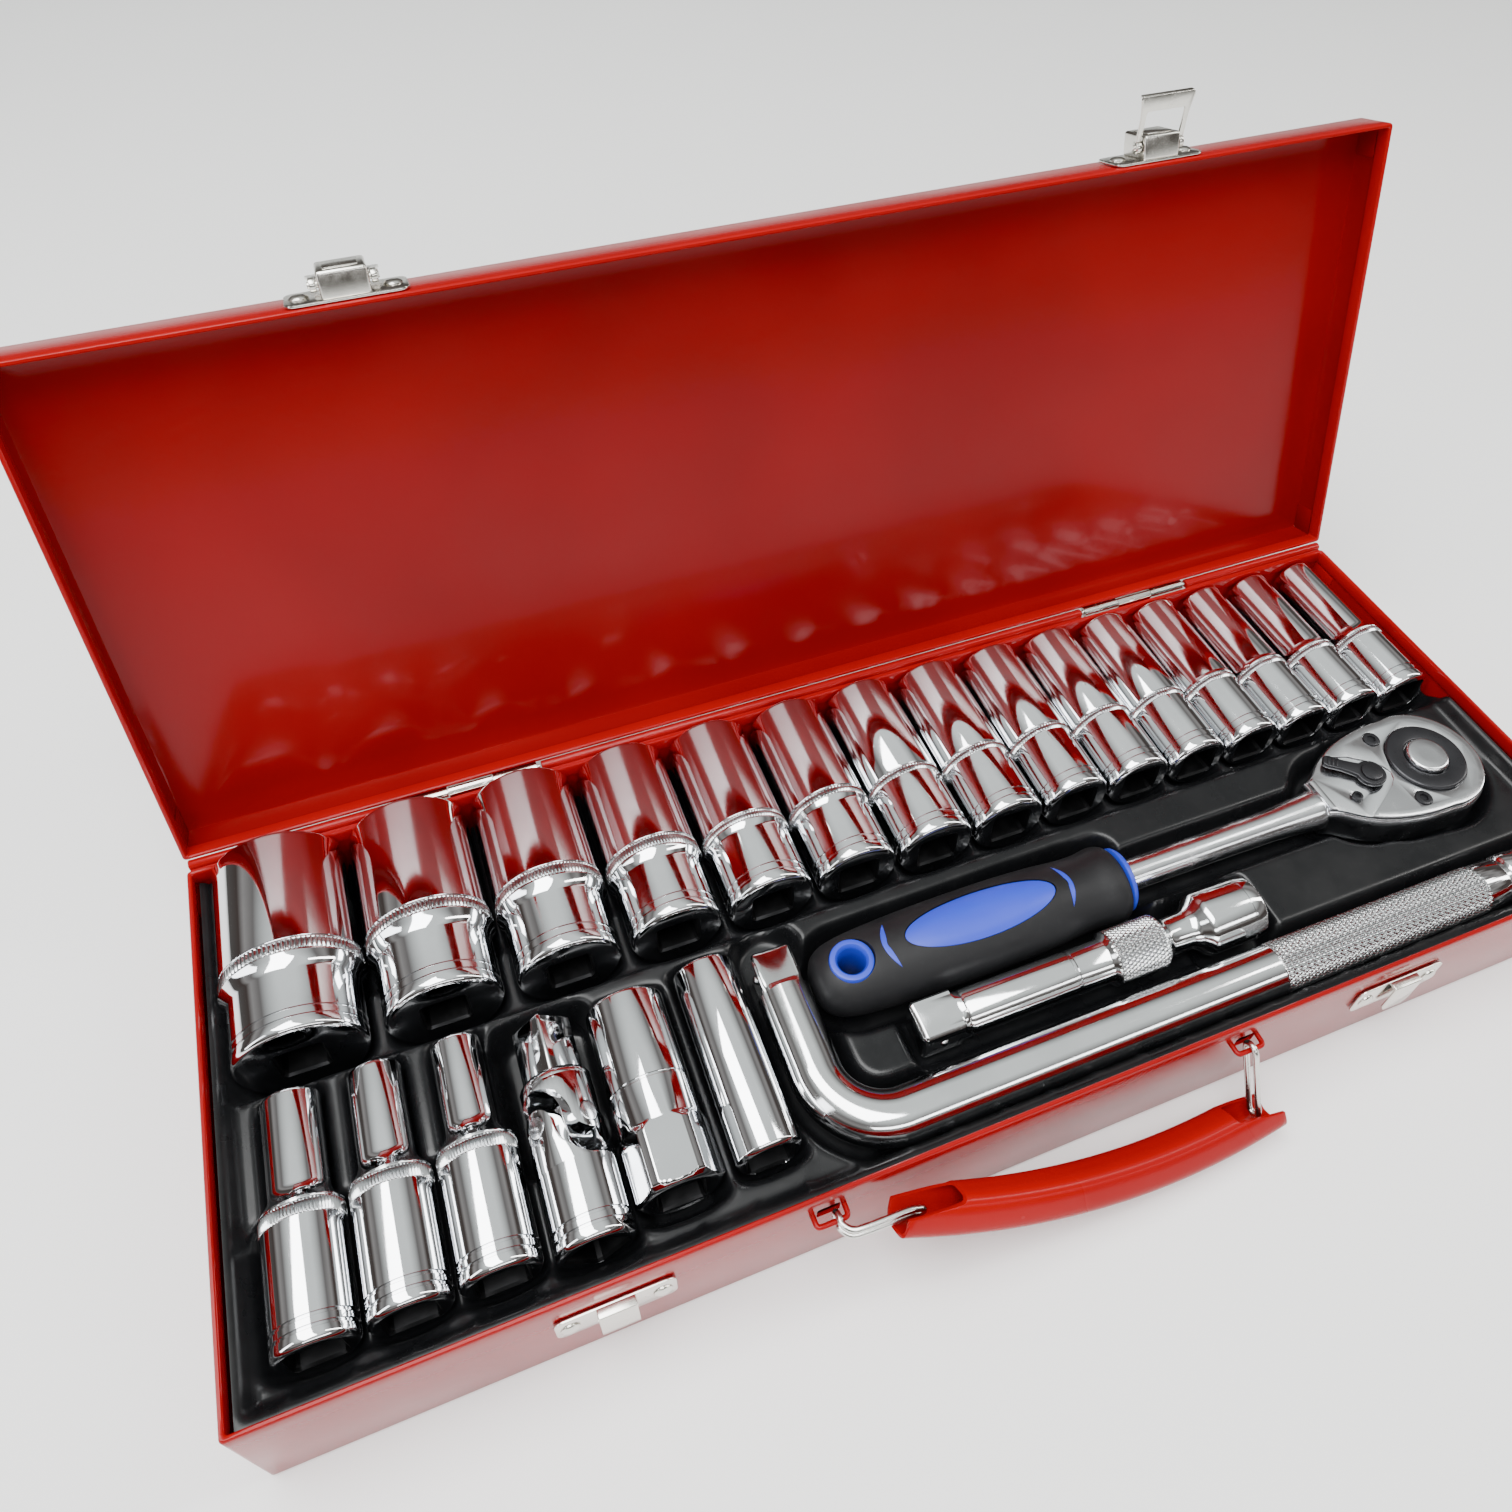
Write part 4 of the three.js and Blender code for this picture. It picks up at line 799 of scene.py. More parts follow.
plug_socket("spark_plug_socket_16mm", 16, "spark_plug_socket_16", 11.9)
plug_socket("spark_plug_socket_14mm", 14, "spark_plug_socket_14", 9.8)


# ---- universal joint: drawn about its own axis Y with the pivot at the origin, then rolled ----
PIVOT = (-128, -35.5, AXIS_Z)
ROLL = Matrix.Translation(PIVOT) @ Matrix.Rotation(math.radians(45), 4, "Y")


def through(points, axis):
    """A flat outline pushed right through the joint along one axis."""
    if axis == "x":
        points = [(v, u) for u, v in points]
    return slab(points, -20, 20, 0, 1, axis)


def fork(name, radius, sign, arm_axis, collar):
    """A round collar with two flared ears about the pivot; sign is the way its collar lies."""
    inner, width, reach = 5.6, 5.2, 4.6
    root = collar + 2
    ys = sorted((sign * root, -sign * reach))
    body = gather(name, [cylinder("y", (0, 0), ys[0], ys[1], radius, 0.25, 96)], [CHROME])
    ear = []
    for a in np.linspace(0, math.pi, 19):
        ear.append((width * math.cos(a), -sign * (reach - 0.9 * width * (1 - math.sin(a)))))
    flare = [(width + 5.4 * t * t, sign * collar * t) for t in np.linspace(0.1, 1, 10)]
    base = [(radius + 1, sign * (collar + 0.1)), (radius + 1, sign * (root + 1))]
    ear += [(-u, v) for u, v in flare + base] + (flare + base)[::-1]
    bottom = collar - 0.4 - inner
    slot = []
    for a in np.linspace(0, math.pi, 25):
        slot.append((inner * math.cos(a), sign * (bottom + inner * math.sin(a))))
    slot += [(-inner, -sign * 20), (inner, -sign * 20)]
    carve(body, gather("keep", [through(ear, arm_axis)], [CHROME]), keep=True)
    carve(body, gather("room", [through(slot, "z" if arm_axis == "x" else "x")], [CHROME]))
    carve(body, gather("hole", [cylinder(arm_axis, (0, 0), -30, 30, 3.05, 0, 40)], [CHROME]))
    return soften(body, 0.45, 40, 3, 40)


def merge(name, sharp, objects, matrix=None):
    """One object from finished meshes, keeping their material slots."""
    verts, faces, indices, slots = [], [], [], []
    for o in objects:
        start = len(verts)
        lookup = []
        for m in o.data.materials:
            if m not in slots:
                slots.append(m)
            lookup.append(slots.index(m))
        verts += [v.co.copy() / MM for v in o.data.vertices]
        faces += [[i + start for i in p.vertices] for p in o.data.polygons]
        indices += [lookup[p.material_index] for p in o.data.polygons]
        data = o.data
        bpy.data.objects.remove(o)
        bpy.data.meshes.remove(data)
    if matrix:
        verts = [matrix @ v for v in verts]
    return build(name, verts, faces, slots, indices, sharp)


yoke = fork("socket_fork", 11, -1, "x", 12)
back = -69.2 - PIVOT[1]
outer = [(back + a, r) for a, r in drive_end(11.0)] + [(-12.3, 11.02), (-12.2, 10.9)]
inside = [
    (-12.2, 2.0), (back + 14.0, 2.0), (back + 14.0, SQUARE - 0.2), (back + 0.9, SQUARE),
    (back + 0.15, SQUARE + 0.7),
]
looks = [0] * len(outer) + [1] * (len(inside) - 1) + [0]
shell = turned("fork_drive", "y", (0, 0), outer + inside, SEGMENTS, [CHROME, SHADED_BORE], True, 28, looks)
made = merge("universal_joint_socket_fork", 35, [yoke, shell], ROLL)
place(made, "joint_socket_yoke", ["uj_socket_yoke"])

yoke = fork("plug_fork", 10.2, 1, "z", 10.6)
neck = [(12.0, 9.6), (12.05, 10.22), (12.9, 10.22), (13.6, 9.9), (14.6, 8.9)]
plug = turned("plug_neck", "y", (0, 0), neck, 96, [CHROME], False, 28)
tip = round_box((-SQUARE_HALF, 13.5, -SQUARE_HALF), (SQUARE_HALF, -3.2 - PIVOT[1], SQUARE_HALF), 0.9, 3)
square = gather("plug_square", [tip], [CHROME])
made = merge("universal_joint_plug_fork", 35, [yoke, plug, square], ROLL)
place(made, "joint_plug_yoke", ["uj_plug_yoke"])

cross = [
    round_box((-4.8, -4.8, -4.8), (4.8, 4.8, 4.8), 0.8, 3),
    cylinder("x", (0, 0), -10.95, 10.95, 2.9, 0.45, 40),
    cylinder("z", (0, 0), -10.15, 10.15, 2.9, 0.45, 40),
]
made = gather("universal_joint_cross", cross, [SATIN], ROLL)
place(made, "joint_cross", ["uj_cross"])


# ---- L-bar and extension ----
BAR_X, BAR_Y, BAR_R, BAR_BEND = -56.8, -65.6, 8.1, 20.0
KNURL_DEPTH, KNURL_PITCH, KNURL_STEP = 0.42, 2.56, 0.32


def diamond(row, starts, radius):
    """Radii of one ring of diamond knurling: two crossed sets of helical grooves."""
    a = angles(SEGMENTS) * starts / TAU
    lift = row / KNURL_PITCH
    up = 1 - 2 * np.abs((a + lift) % 1 - 0.5)
    down = 1 - 2 * np.abs((a - lift) % 1 - 0.5)
    return radius - KNURL_DEPTH + KNURL_DEPTH * 2 * np.minimum(np.minimum(up, down), 0.5)


def knurled(start, stop, radius, starts):
    """Rings of diamond knurling that run out to the plain radius over a millimetre at both ends."""
    out = []
    for v in np.arange(start, stop + 1e-6, KNURL_STEP):
        fade = min(1, v - start, stop - v)
        out.append((v, radius - (radius - diamond(v, starts, radius)) * fade))
    return out


def square_rings(start, stop, base):
    """A square drive out of a round neck of radius base: its tip is at stop."""
    flat = polygon(SEGMENTS, 4, SQUARE_HALF, SQUARE_HALF * 1.33, TAU / 8)
    d = 1 if stop > start else -1
    return [
        (start, np.minimum(flat + 0.9, base)), (start + d * 1.2, np.minimum(flat + 0.25, base)),
        (start + d * 2.2, flat), (stop - d * 1.6, flat), (stop - d * 0.9, flat - 0.25),
        (stop - d * 0.3, flat - 0.8), (stop, flat - 1.5),
    ]


bend = [BAR_X + BAR_BEND, BAR_Y + BAR_BEND]
path = [(BAR_X, y, AXIS_Z) for y in np.linspace(-19.5, bend[1] + 0.6, 14)]
path += [
    (bend[0] + BAR_BEND * math.cos(a), bend[1] + BAR_BEND * math.sin(a), AXIS_Z)
    for a in np.linspace(math.pi, 1.5 * math.pi, 30)
]
path += [(x, BAR_Y, AXIS_Z) for x in np.linspace(bend[0] + 0.6, 88.6, 10)]
stem = from_data(*tube(path, BAR_R, 64))
knurl = knurled(88.4, 169.2, BAR_R + 0.05, 40)
tail = [(169.3, BAR_R), (177.6, BAR_R), (178.4, BAR_R - 0.5), (178.8, BAR_R - 1.0)]
tip = square_rings(186.4, 209.8, BAR_R)
shoulder = [(180.2, BAR_R - 1.0), (180.9, BAR_R - 0.3), (181.4, BAR_R)]
outer = knurl + tail + shoulder + [(186.2, BAR_R)] + tip
run = lathe("x", (BAR_Y, AXIS_Z), outer, SEGMENTS)
front = [(-21.4, BAR_R), (-20.6, BAR_R - 0.15), (-20.0, BAR_R - 0.7)] + square_rings(-19.6, -6.3, BAR_R)
drive = lathe("y", (BAR_X, AXIS_Z), front, SEGMENTS)
bar = gather("l_bar_body", [stem, run, drive], [BAR_CHROME, KNURL], None, 38)
for face in bar.data.polygons:
    c = face.center / MM
    if 89 < c.x < 169 and c.y < -50:
        face.material_index = 1
place(bar, "l_bar", ["l_bar"])


def ball(name, node, body):
    """A sprung ball set in a face."""
    low, high = mm_box(node)
    middle = [(a + b) / 2 for a, b in zip(low, high)]
    bm = bmesh.new()
    bmesh.ops.create_icosphere(bm, subdivisions=4, radius=(high[2] - low[2]) / 2)
    bmesh.ops.translate(bm, vec=middle, verts=bm.verts)
    made = gather(name, [bm], [BALL], None, 180)
    place(made, body, [node])


ball("l_bar_ball", "l_bar_detent_ball", "l_bar")
ball("extension_ball", "extension_detent_ball", "extension")

EXT_Y = -44.2
profile = square_rings(-9.0, -24.6, 7.0)[::-1]
profile += [(-8.4, 6.6), (-7.6, 7.0), (28.0, 7.0), (28.3, 6.75), (29.1, 6.75), (29.4, 7.0), (40.2, 7.0)]
profile += [(40.8, 7.4), (41.6, 8.2)] + knurled(42.2, 60.2, 8.6, 36)
profile += [(60.6, 8.3), (61.3, 7.4), (62.3, 6.3), (63.6, 6.0), (70.2, 6.0), (71.6, 6.3), (73.2, 7.4)]
profile += [(75.0, 9.2), (76.2, 10.0), (77.2, 10.2)]
profile += [(90.6, 10.2), (90.75, 9.9), (91.3, 9.9), (91.45, 10.2), (94.8, 10.2), (95.4, 9.9)]
profile += [(96.1, 9.1), (96.2, 8.9)]
profile += [(96.15, SQUARE + 0.6), (95.4, SQUARE), (81.4, SQUARE), (81.2, 4.0)]
looks = [1 if 42.4 < (a + b) / 2 < 60.0 else 0 for (a, _), (b, _) in zip(profile, profile[1:])]
looks[-3:] = [2, 2, 2]
materials = [BAR_CHROME, KNURL, SHADED_BORE]
extension = turned("extension_body", "x", (EXT_Y, AXIS_Z), profile, SEGMENTS, materials, False, 38, looks)
place(extension, "extension", ["extension_bar"])


# ---- ratchet ----
HEAD = (186.6, -19.4)
GRIP_Y = -20.6
HEAD_R = 20.8
HEAD_SIDE = [(-12, 20.3), (-21.5, 18.9), (-30, 16.4), (-36.5, 12.9), (-42, 8.8), (-46.5, 7.0)]


def pear(inset, z):
    """The head's outline: a round end that narrows to the neck, shrunk by inset."""
    r = HEAD_R - inset
    start = math.radians(100)
    end = [(r * math.cos(a), r * math.sin(a)) for a in np.linspace(-start, start, 90)]
    side = [(x, half - inset) for x, half in HEAD_SIDE[:-1]]
    side.append((HEAD_SIDE[-1][0] + inset, HEAD_SIDE[-1][1] - inset))
    upper = [tuple(p) for p in spline([end[-1]] + side, 7)[1:]]
    lower = [(x, -y) for x, y in upper[::-1]]
    return np.array([(HEAD[0] + x, HEAD[1] + y, z) for x, y in end + upper + lower])


levels = [
    (3.4, 24.5), (2.4, 24.5), (1.2, 24.8), (0.4, 25.6), (0.05, 26.8), (0, 28.5), (0, 35.5), (0.05, 37.0),
    (0.35, 38.0), (0.8, 38.45), (1.4, 38.5), (3.4, 38.5),
]
head = gather("head", [loft([pear(*level) for level in levels])], [SATIN])
shaft = [
    (59.0, 4.6), (62.8, 5.1), (66.0, 5.15), (96.0, 5.2), (118.0, 5.4), (127.0, 5.8), (134.0, 6.3),
    (138.6, 6.7), (140.7, 6.6), (142.0, 5.7), (146.5, 5.4),
]
neck = turned("neck", "x", (GRIP_Y, AXIS_Z), spline(shaft, 6), 96, [SATIN], False, 30)
head = merge("ratchet_head_and_shaft", 34, [head, neck])
place(head, "ratchet", ["ratchet_body"])

# each screw is (x, y) from the head's centre and its radius
SCREWS = [(-12.6, 13.5, 2.9), (-12.6, -13.5, 2.9), (-33.6, -4.8, 1.9)]
levels = [(3.4, 38.7), (1.0, 38.7), (0.9, 38.8), (0.9, 39.55), (1.05, 39.85), (1.4, 40.0), (3.4, 40.0)]
cover = gather("ratchet_cover_plate", [loft([pear(*level) for level in levels])], [SATIN])
for x, y, r in [(0, 0, 14.1)] + [(x, y, r + 0.2) for x, y, r in SCREWS]:
    room = cylinder("z", (HEAD[0] + x, HEAD[1] + y), 38, 42, r, 0, 64)
    carve(cover, gather("room", [room], [SATIN]))
# the sunk facet the reverse lever lies in: it runs from the neck to a blunt point by the ring
FACET = [
    (-43.6, 15), (-36.4, 13.7), (-26.2, 10.4), (-19.4, 5.5), (-16.6, 2.4), (-15.6, -0.6), (-16.6, -3.2),
    (-19.1, -5.4), (-34.2, -13.6), (-35, -17), (-43.6, -17),
]
facet = [(HEAD[0] + x, HEAD[1] + y) for x, y in FACET]
carve(cover, gather("facet", [slab(facet, 39.35, 42, 0)], [SATIN]))
soften(cover, 0.22, 40, 2, 35)
place(cover, "ratchet", ["ratchet_cover"])

SCREW_TOP = 40.4
for i, (x, y, r) in enumerate(SCREWS, 1):
    x, y = HEAD[0] + x, HEAD[1] + y
    screw = gather(f"cover_screw_head_{i}", [cylinder("z", (x, y), 38.8, SCREW_TOP, r, 0.3, 40)], [OXIDE])
    hexed = [(x + r * 0.55 * math.cos(a), y + r * 0.55 * math.sin(a)) for a in angles(6)]
    carve(screw, gather("key", [slab(hexed, SCREW_TOP - 0.8, SCREW_TOP + 1, 0)], [OXIDE]))
    smooth(screw, 30)
    place(screw, "ratchet", [f"ratchet_cover_screw_{i}"])

ring_profile = [
    (36.3, 13.5), (36.5, 13.8), (40.4, 13.8), (40.8, 13.7), (41.1, 13.35), (41.2, 12.9), (41.2, 8.3),
    (41.05, 7.85), (40.6, 7.55), (36.6, 7.5), (36.3, 7.8),
]
ring = turned("drive_ring", "z", HEAD, ring_profile, 96, [OXIDE], True, 30)
place(ring, "ratchet_drive", ["ratchet_drive_ring"])
button_profile = [
    (36.8, 6.6), (37.0, 7.1), (41.8, 7.2), (42.25, 7.05), (42.6, 6.6), (42.7, 6.0), (42.67, 3), (42.66, 0.3),
]
button = turned("release_button", "z", HEAD, button_profile, 96, [SATIN], False, 40)
place(button, "ratchet_button", ["ratchet_release_button"])

spindle = [(23.5, 8.3), (23.8, 8.9), (24.3, 9.2), (35.4, 9.2), (35.7, 8.9), (35.7, 7.8), (33.2, 7.6)]
spindle.append((33.0, 6.9))
low, high = [v - SQUARE_HALF for v in HEAD], [v + SQUARE_HALF for v in HEAD]
parts = [lathe("z", HEAD, spindle, 64), round_box((*low, 9.5), (*high, 23.9), 0.8, 3)]
made = gather("drive_spindle_and_square", parts, [SATIN])
place(made, "ratchet_drive", ["ratchet_drive_square"])

LEVER = (162.2, -18.9)
LEVER_REST = math.radians(139)
points = [(5.2 * math.cos(a), 5.2 * math.sin(a)) for a in np.radians(np.linspace(32, 328, 40))]
blade = [(6.2, -2.5), (10, -2.15), (14.6, -2.4), (15.9, -1.9), (16.3, -0.9)]
blade += [(x, -y) for x, y in blade[::-1]]
parts = [slab(points + blade, 40.7, 42.5, 0.5, 3)]
parts.append(cylinder("z", (0, 0), 42.2, 43.4, 3.6, 0.45, 48))
for x in (11.6, 13.0, 14.4):
    parts.append(round_box((x - 0.35, -1.9, 42.2), (x + 0.35, 1.9, 42.9), 0.2, 2))
put = Matrix.Translation((*LEVER, 0)) @ Matrix.Rotation(LEVER_REST, 4, "Z")
lever = gather("reverse_lever_blade", parts, [OXIDE], put)
place(lever, "ratchet_reverse", ["ratchet_reverse_lever"])

# the grip is an egg-section handle, so its rings are flattened in Z
GRIP_PROFILE = [
    (-47.7, 0.6), (-47.5, 3.6), (-46.9, 6.0), (-45.2, 8.9), (-42, 11.0), (-38, 12.1), (-33, 12.8),
    (-28, 13.2), (-18, 13.75), (-6, 14.1), (8, 14.2), (20, 14.05), (32, 13.5), (39, 12.9), (44, 12.55),
    (49, 12.6), (54, 13.25), (56.5, 13.1), (58.4, 12.4), (59.4, 11.4), (59.8, 10.2), (59.8, 6.0),
]
GRIP_Z = AXIS_Z - 0.23
GRIP_FLAT = 0.86
SHAFT_Z = 32.6
EYELET = (-35.2, GRIP_Y)


def grip_radius(x):
    xs, rs = zip(*GRIP_PROFILE[:-1])
    return float(np.interp(x, xs, rs))


levels = []
for a, r in spline(GRIP_PROFILE, 4):
    ring = around("x", (GRIP_Y, 0), a, max(r, 0.4), 160)
    ring[:, 2] = ring[:, 2] * GRIP_FLAT + GRIP_Z
    levels.append(ring)
rubber = gather("ratchet_rubber_grip", [loft(levels)], [RUBBER])


def on_grip(outline, lift, depth):
    """A closed outline laid on the grip's upper side: solid from depth below its skin to lift above it."""
    n = len(outline)
    inner = np.mean(np.array(outline), 0)
    verts = []
    shells = 6
    for offset in (lift, -depth):
        for k in range(shells):
            s = 1 - k / shells
            edge = 0.35 if k == 0 and offset == lift else 0
            for x, y in outline:
                px, py = inner[0] + (x - inner[0]) * s, inner[1] + (y - inner[1]) * s
                r = grip_radius(px)
                dy = min(abs(py - GRIP_Y), r - 0.1)
                verts.append((px, py, GRIP_Z + GRIP_FLAT * math.sqrt(r * r - dy * dy) + offset - edge))
    faces = []
    for level in (0, 1):
        base = level * shells * n
        for k in range(shells - 1):
            for i in range(n):
                j = (i + 1) % n
                quad = [base + k * n + i, base + k * n + j, base + (k + 1) * n + j, base + (k + 1) * n + i]
                faces.append(quad if level == 0 else quad[::-1])
        cap = [base + (shells - 1) * n + i for i in range(n)]
        faces.append(cap if level == 0 else cap[::-1])
    for i in range(n):
        j = (i + 1) % n
        faces.append([i, shells * n + i, shells * n + j, j])
    return from_data(verts, faces)


def ellipse(half_x, half_y):
    return [(8.7 + half_x * math.cos(a), GRIP_Y + half_y * math.sin(a)) for a in angles(96)]


def crescent(cx, bulge, thick):
    """Two arcs that meet in points, bowed towards bulge."""
    half_y = 8.6
    ts = np.linspace(-1, 1, 20)
    outer = [(cx + bulge * (1 - t * t), GRIP_Y + half_y * t) for t in ts]
    inner = [(cx + (bulge - thick) * (1 - t * t), GRIP_Y + half_y * t) for t in ts[-2:0:-1]]
    return outer + inner


carve(
    rubber,
    gather("inlay_room", [on_grip(ellipse(26.35, 8.05), 6, 1.3)], [RUBBER]),
    gather("eyelet_room", [cylinder("z", EYELET, 15, 50, 7.15, 0, 64)], [RUBBER]),
    gather("shaft_room", [cylinder("x", (GRIP_Y, SHAFT_Z), 40, 70, 5.35, 0)], [RUBBER]),
)
soften(rubber, 0.35, 45, 3, 40)
place(rubber, "ratchet", ["ratchet_grip"])

inlay = gather("grip_inlay_and_crescents", [
    on_grip(ellipse(26.0, 7.7), -0.15, 1.25),
    on_grip(crescent(-21.6, -3.6, -1.5), 0.16, 0.6),
    on_grip(crescent(37.6, 3.6, 1.5), 0.16, 0.6),
], [BLUE], None, 50)
place(inlay, "ratchet", ["ratchet_grip_inlay"])

low, high = mm_box("ratchet_hang_eyelet")
collar = [
    (low[2], 6.6), (low[2] + 0.5, 7.0), (high[2] - 0.7, 7.0), (high[2] - 0.2, 6.7), (high[2], 6.1),
    (high[2] - 0.05, 5.2), (high[2] - 0.9, 4.5), (high[2] - 2, 4.4), (low[2] + 1.2, 4.4), (low[2], 5.2),
]
eyelet = turned("hang_eyelet_ring", "z", EYELET, collar, 96, [BLUE], True, 40)
place(eyelet, "ratchet", ["ratchet_hang_eyelet"])
collar = [
    (60.1, 10.6), (60.3, 10.85), (61.3, 10.7), (62.1, 10.0), (62.4, 9.3), (62.4, 6.0), (62.2, 5.6),
    (60.3, 5.5), (60.1, 5.7),
]
made = gather("grip_collar_ring", [lathe("x", (GRIP_Y, SHAFT_Z), collar, 96, True)], [BLUE], None, 40)
place(made, "ratchet", ["ratchet_grip_collar"])


# ---- tray: one formed sheet, as a height for every point ----
LAND = 33.0
BED = 27.0
TRAY_X, TRAY_Y = 217.6, 78.7
STEP = 0.8
DRAFT = 4.0
ROOM = 0.9
xs = np.linspace(-TRAY_X, TRAY_X, int(2 * TRAY_X / STEP) + 1)
ys = np.linspace(-TRAY_Y, TRAY_Y, int(2 * TRAY_Y / STEP) + 1)
X, Y = np.meshgrid(xs, ys, indexing="ij")


def rect(x0, x1, y0, y1, corner=3.0):
    """How far each point is outside a rectangle with rounded corners."""
    dx = np.abs(X - (x0 + x1) / 2) - (x1 - x0) / 2 + corner
    dy = np.abs(Y - (y0 + y1) / 2) - (y1 - y0) / 2 + corner
    return np.hypot(np.maximum(dx, 0), np.maximum(dy, 0)) + np.minimum(np.maximum(dx, dy), 0) - corner


def capsule(x0, y0, x1, y1, r0, r1):
    """How far each point is outside a bar whose radius runs from r0 to r1."""
    dx, dy = x1 - x0, y1 - y0
    t = np.clip(((X - x0) * dx + (Y - y0) * dy) / (dx * dx + dy * dy), 0, 1)
    return np.hypot(X - x0 - t * dx, Y - y0 - t * dy) - (r0 + (r1 - r0) * t)


def press(height, floor, outside):
    return np.minimum(height, floor + DRAFT * np.maximum(outside, 0))


def trough(height, x, r, y0, y1):
    """A round-bottomed pocket along Y."""
    dx = np.minimum(np.abs(X - x), r)
    floor = AXIS_Z - np.sqrt(np.maximum(r * r - dx * dx, 0))
    beyond = np.maximum(np.maximum(y0 - Y, Y - y1), np.abs(X - x) - r)
    return press(height, floor, beyond)


tray = np.full_like(X, LAND)
tray = press(tray, BED, rect(-216.4, 216.6, 5.6, 90, 4))
for size, (rd, rh) in DEEP_RADII.items():
    low, high = mm_box(f"deep_socket_{size}mm")
    x = (low[0] + high[0]) / 2
    if size >= 12:
        flare = 1.5 * max(rh - rd, 0) + 2.6
        tray = trough(tray, x, rd + ROOM, low[1] - 0.9, low[1] + 26)
        tray = trough(tray, x, rh + ROOM, low[1] + 23.6 - flare, 90)
first, last = -198.8, -152.6
reach = 11 + ROOM
tray = press(tray, BED + 0.5, rect(first - reach, last + reach, -69, -32.2, 3))
for size in (11, 10, 9):
    low, high = mm_box(f"deep_socket_{size}mm")
    x = (low[0] + high[0]) / 2
    rh = DEEP_RADII[size][1]
    tray = trough(tray, x, reach, -68.9, -32.0)
    tray = trough(tray, x, rh + ROOM, -34, 1.6)
    tray = press(tray, AXIS_Z - 1.5, rect(x - rh - ROOM, x + rh + ROOM, -33, 1.7, 2.5))
tray = trough(tray, PLUG_X[16], 12.9, -66.6, -4.9)
tray = trough(tray, PLUG_X[14], 9.8 + ROOM, -64.8, -2.1)
tray = trough(tray, PIVOT[0], 11.9, -70.5, -34)
BAR_FLOOR = AXIS_Z - 9.0
elbow = np.abs(np.hypot(X - bend[0], Y - bend[1]) - BAR_BEND) - 9.6
pockets = [
    (21.0, rect(PLUG_X[16] - 9, PLUG_X[16] + 9, -66.6, -4.9)),
    (19.0, rect(-141.4, -115.4, -42, -1.4, 4)),
    (BAR_FLOOR, capsule(BAR_X, bend[1], BAR_X, -5.2, 9.4, 9.4)),
    (BAR_FLOOR, capsule(bend[0], BAR_Y, 205, BAR_Y, 9.4, 9.4)),
    (BAR_FLOOR, np.where((X < bend[0] + 0.5) & (Y < bend[1] + 0.5), elbow, 99)),
    (BAR_FLOOR, rect(196, 211.6, BAR_Y - 9.2, BAR_Y + 9.2)),
    (24.6, rect(-26, 74, EXT_Y - 9.2, EXT_Y + 9.2)),
    (22.0, rect(73.2, 97.9, EXT_Y - 11.2, EXT_Y + 11.2)),
    (20.2, capsule(-34.6, GRIP_Y, 50, GRIP_Y, 14.9, 15.5)),
    (20.2, rect(40, 64.0, GRIP_Y - 15.2, GRIP_Y + 15.2, 4)),
    (25.2, rect(60, 142, GRIP_Y - 8.2, GRIP_Y + 8.2, 2)),
]
for floor, outside in pockets:
    tray = press(tray, floor, outside)
HEAD_ROOM = [(146, 10.2), (156.6, 17.6), (170, 20.8), (HEAD[0], 22.4)]
for (x0, r0), (x1, r1) in zip(HEAD_ROOM, HEAD_ROOM[1:]):
    tray = press(tray, 23.6, capsule(x0, HEAD[1], x1, HEAD[1], r0, r1))
ridge = np.minimum(Y + TRAY_Y - 2.6, X + TRAY_X - 1.9)
ridge = np.minimum(ridge, TRAY_X - 1.6 - X + np.maximum(Y - 3, 0) * 9)
tray = np.maximum(tray, 37.8 - 2.6 * np.maximum(ridge, 0))


def blur(height, passes):
    """Rounds every edge of the formed sheet a little."""
    for _ in range(passes):
        padded = np.pad(height, 1, mode="edge")
        height = (padded[:-2, 1:-1] + 2 * padded[1:-1, 1:-1] + padded[2:, 1:-1]) / 4
        padded = np.pad(height, 1, mode="edge")
        height = (padded[1:-1, :-2] + 2 * padded[1:-1, 1:-1] + padded[1:-1, 2:]) / 4
    return height


# a row of small pips along the front ridge stiffens it
pips = np.exp(-(((X + 3) % 15.0 - 7.5) / 1.3) ** 2) * np.exp(-((Y + TRAY_Y - 4.2) / 1.3) ** 2)
tray = blur(tray, 3) + 1.1 * pips
# the land between the pockets is faintly wavy
tray = np.where(np.abs(tray - LAND) < 0.4, tray + 0.12 * np.sin(X / 11) * np.sin(Y / 7 + X / 31), tray)
# the ratchet's square hangs in a deeper well
well = np.hypot(X - HEAD[0], Y - HEAD[1])
tray = np.where(well < 11.2, np.minimum(tray, 8.0 + 8 * np.maximum(well - 9.6, 0)), tray)
nx, ny = X.shape
top = np.stack([X, Y, tray], 2).reshape(-1, 3)
number = np.arange(nx * ny).reshape(nx, ny)
quads = np.stack([number[:-1, :-1], number[1:, :-1], number[1:, 1:], number[:-1, 1:]], 2).reshape(-1, 4)
loop = np.concatenate([number[:, 0], number[-1, 1:], number[-2::-1, -1], number[0, -2:0:-1]])
skirt = top[loop].copy()
skirt[:, 2] = 1.6
below = len(top) + np.arange(len(loop))
walls = np.stack([loop, below, np.roll(below, -1), np.roll(loop, -1)], 1)
faces = quads.tolist() + walls.tolist() + [below.tolist()]
formed = build("formed_tray", np.concatenate([top, skirt]), faces, [TRAY], None, 60)
fields = ("socket_bed", "left_field", "right_floor", "right_field", "border")
place(formed, "case", [f"tray_{field}" for field in fields])

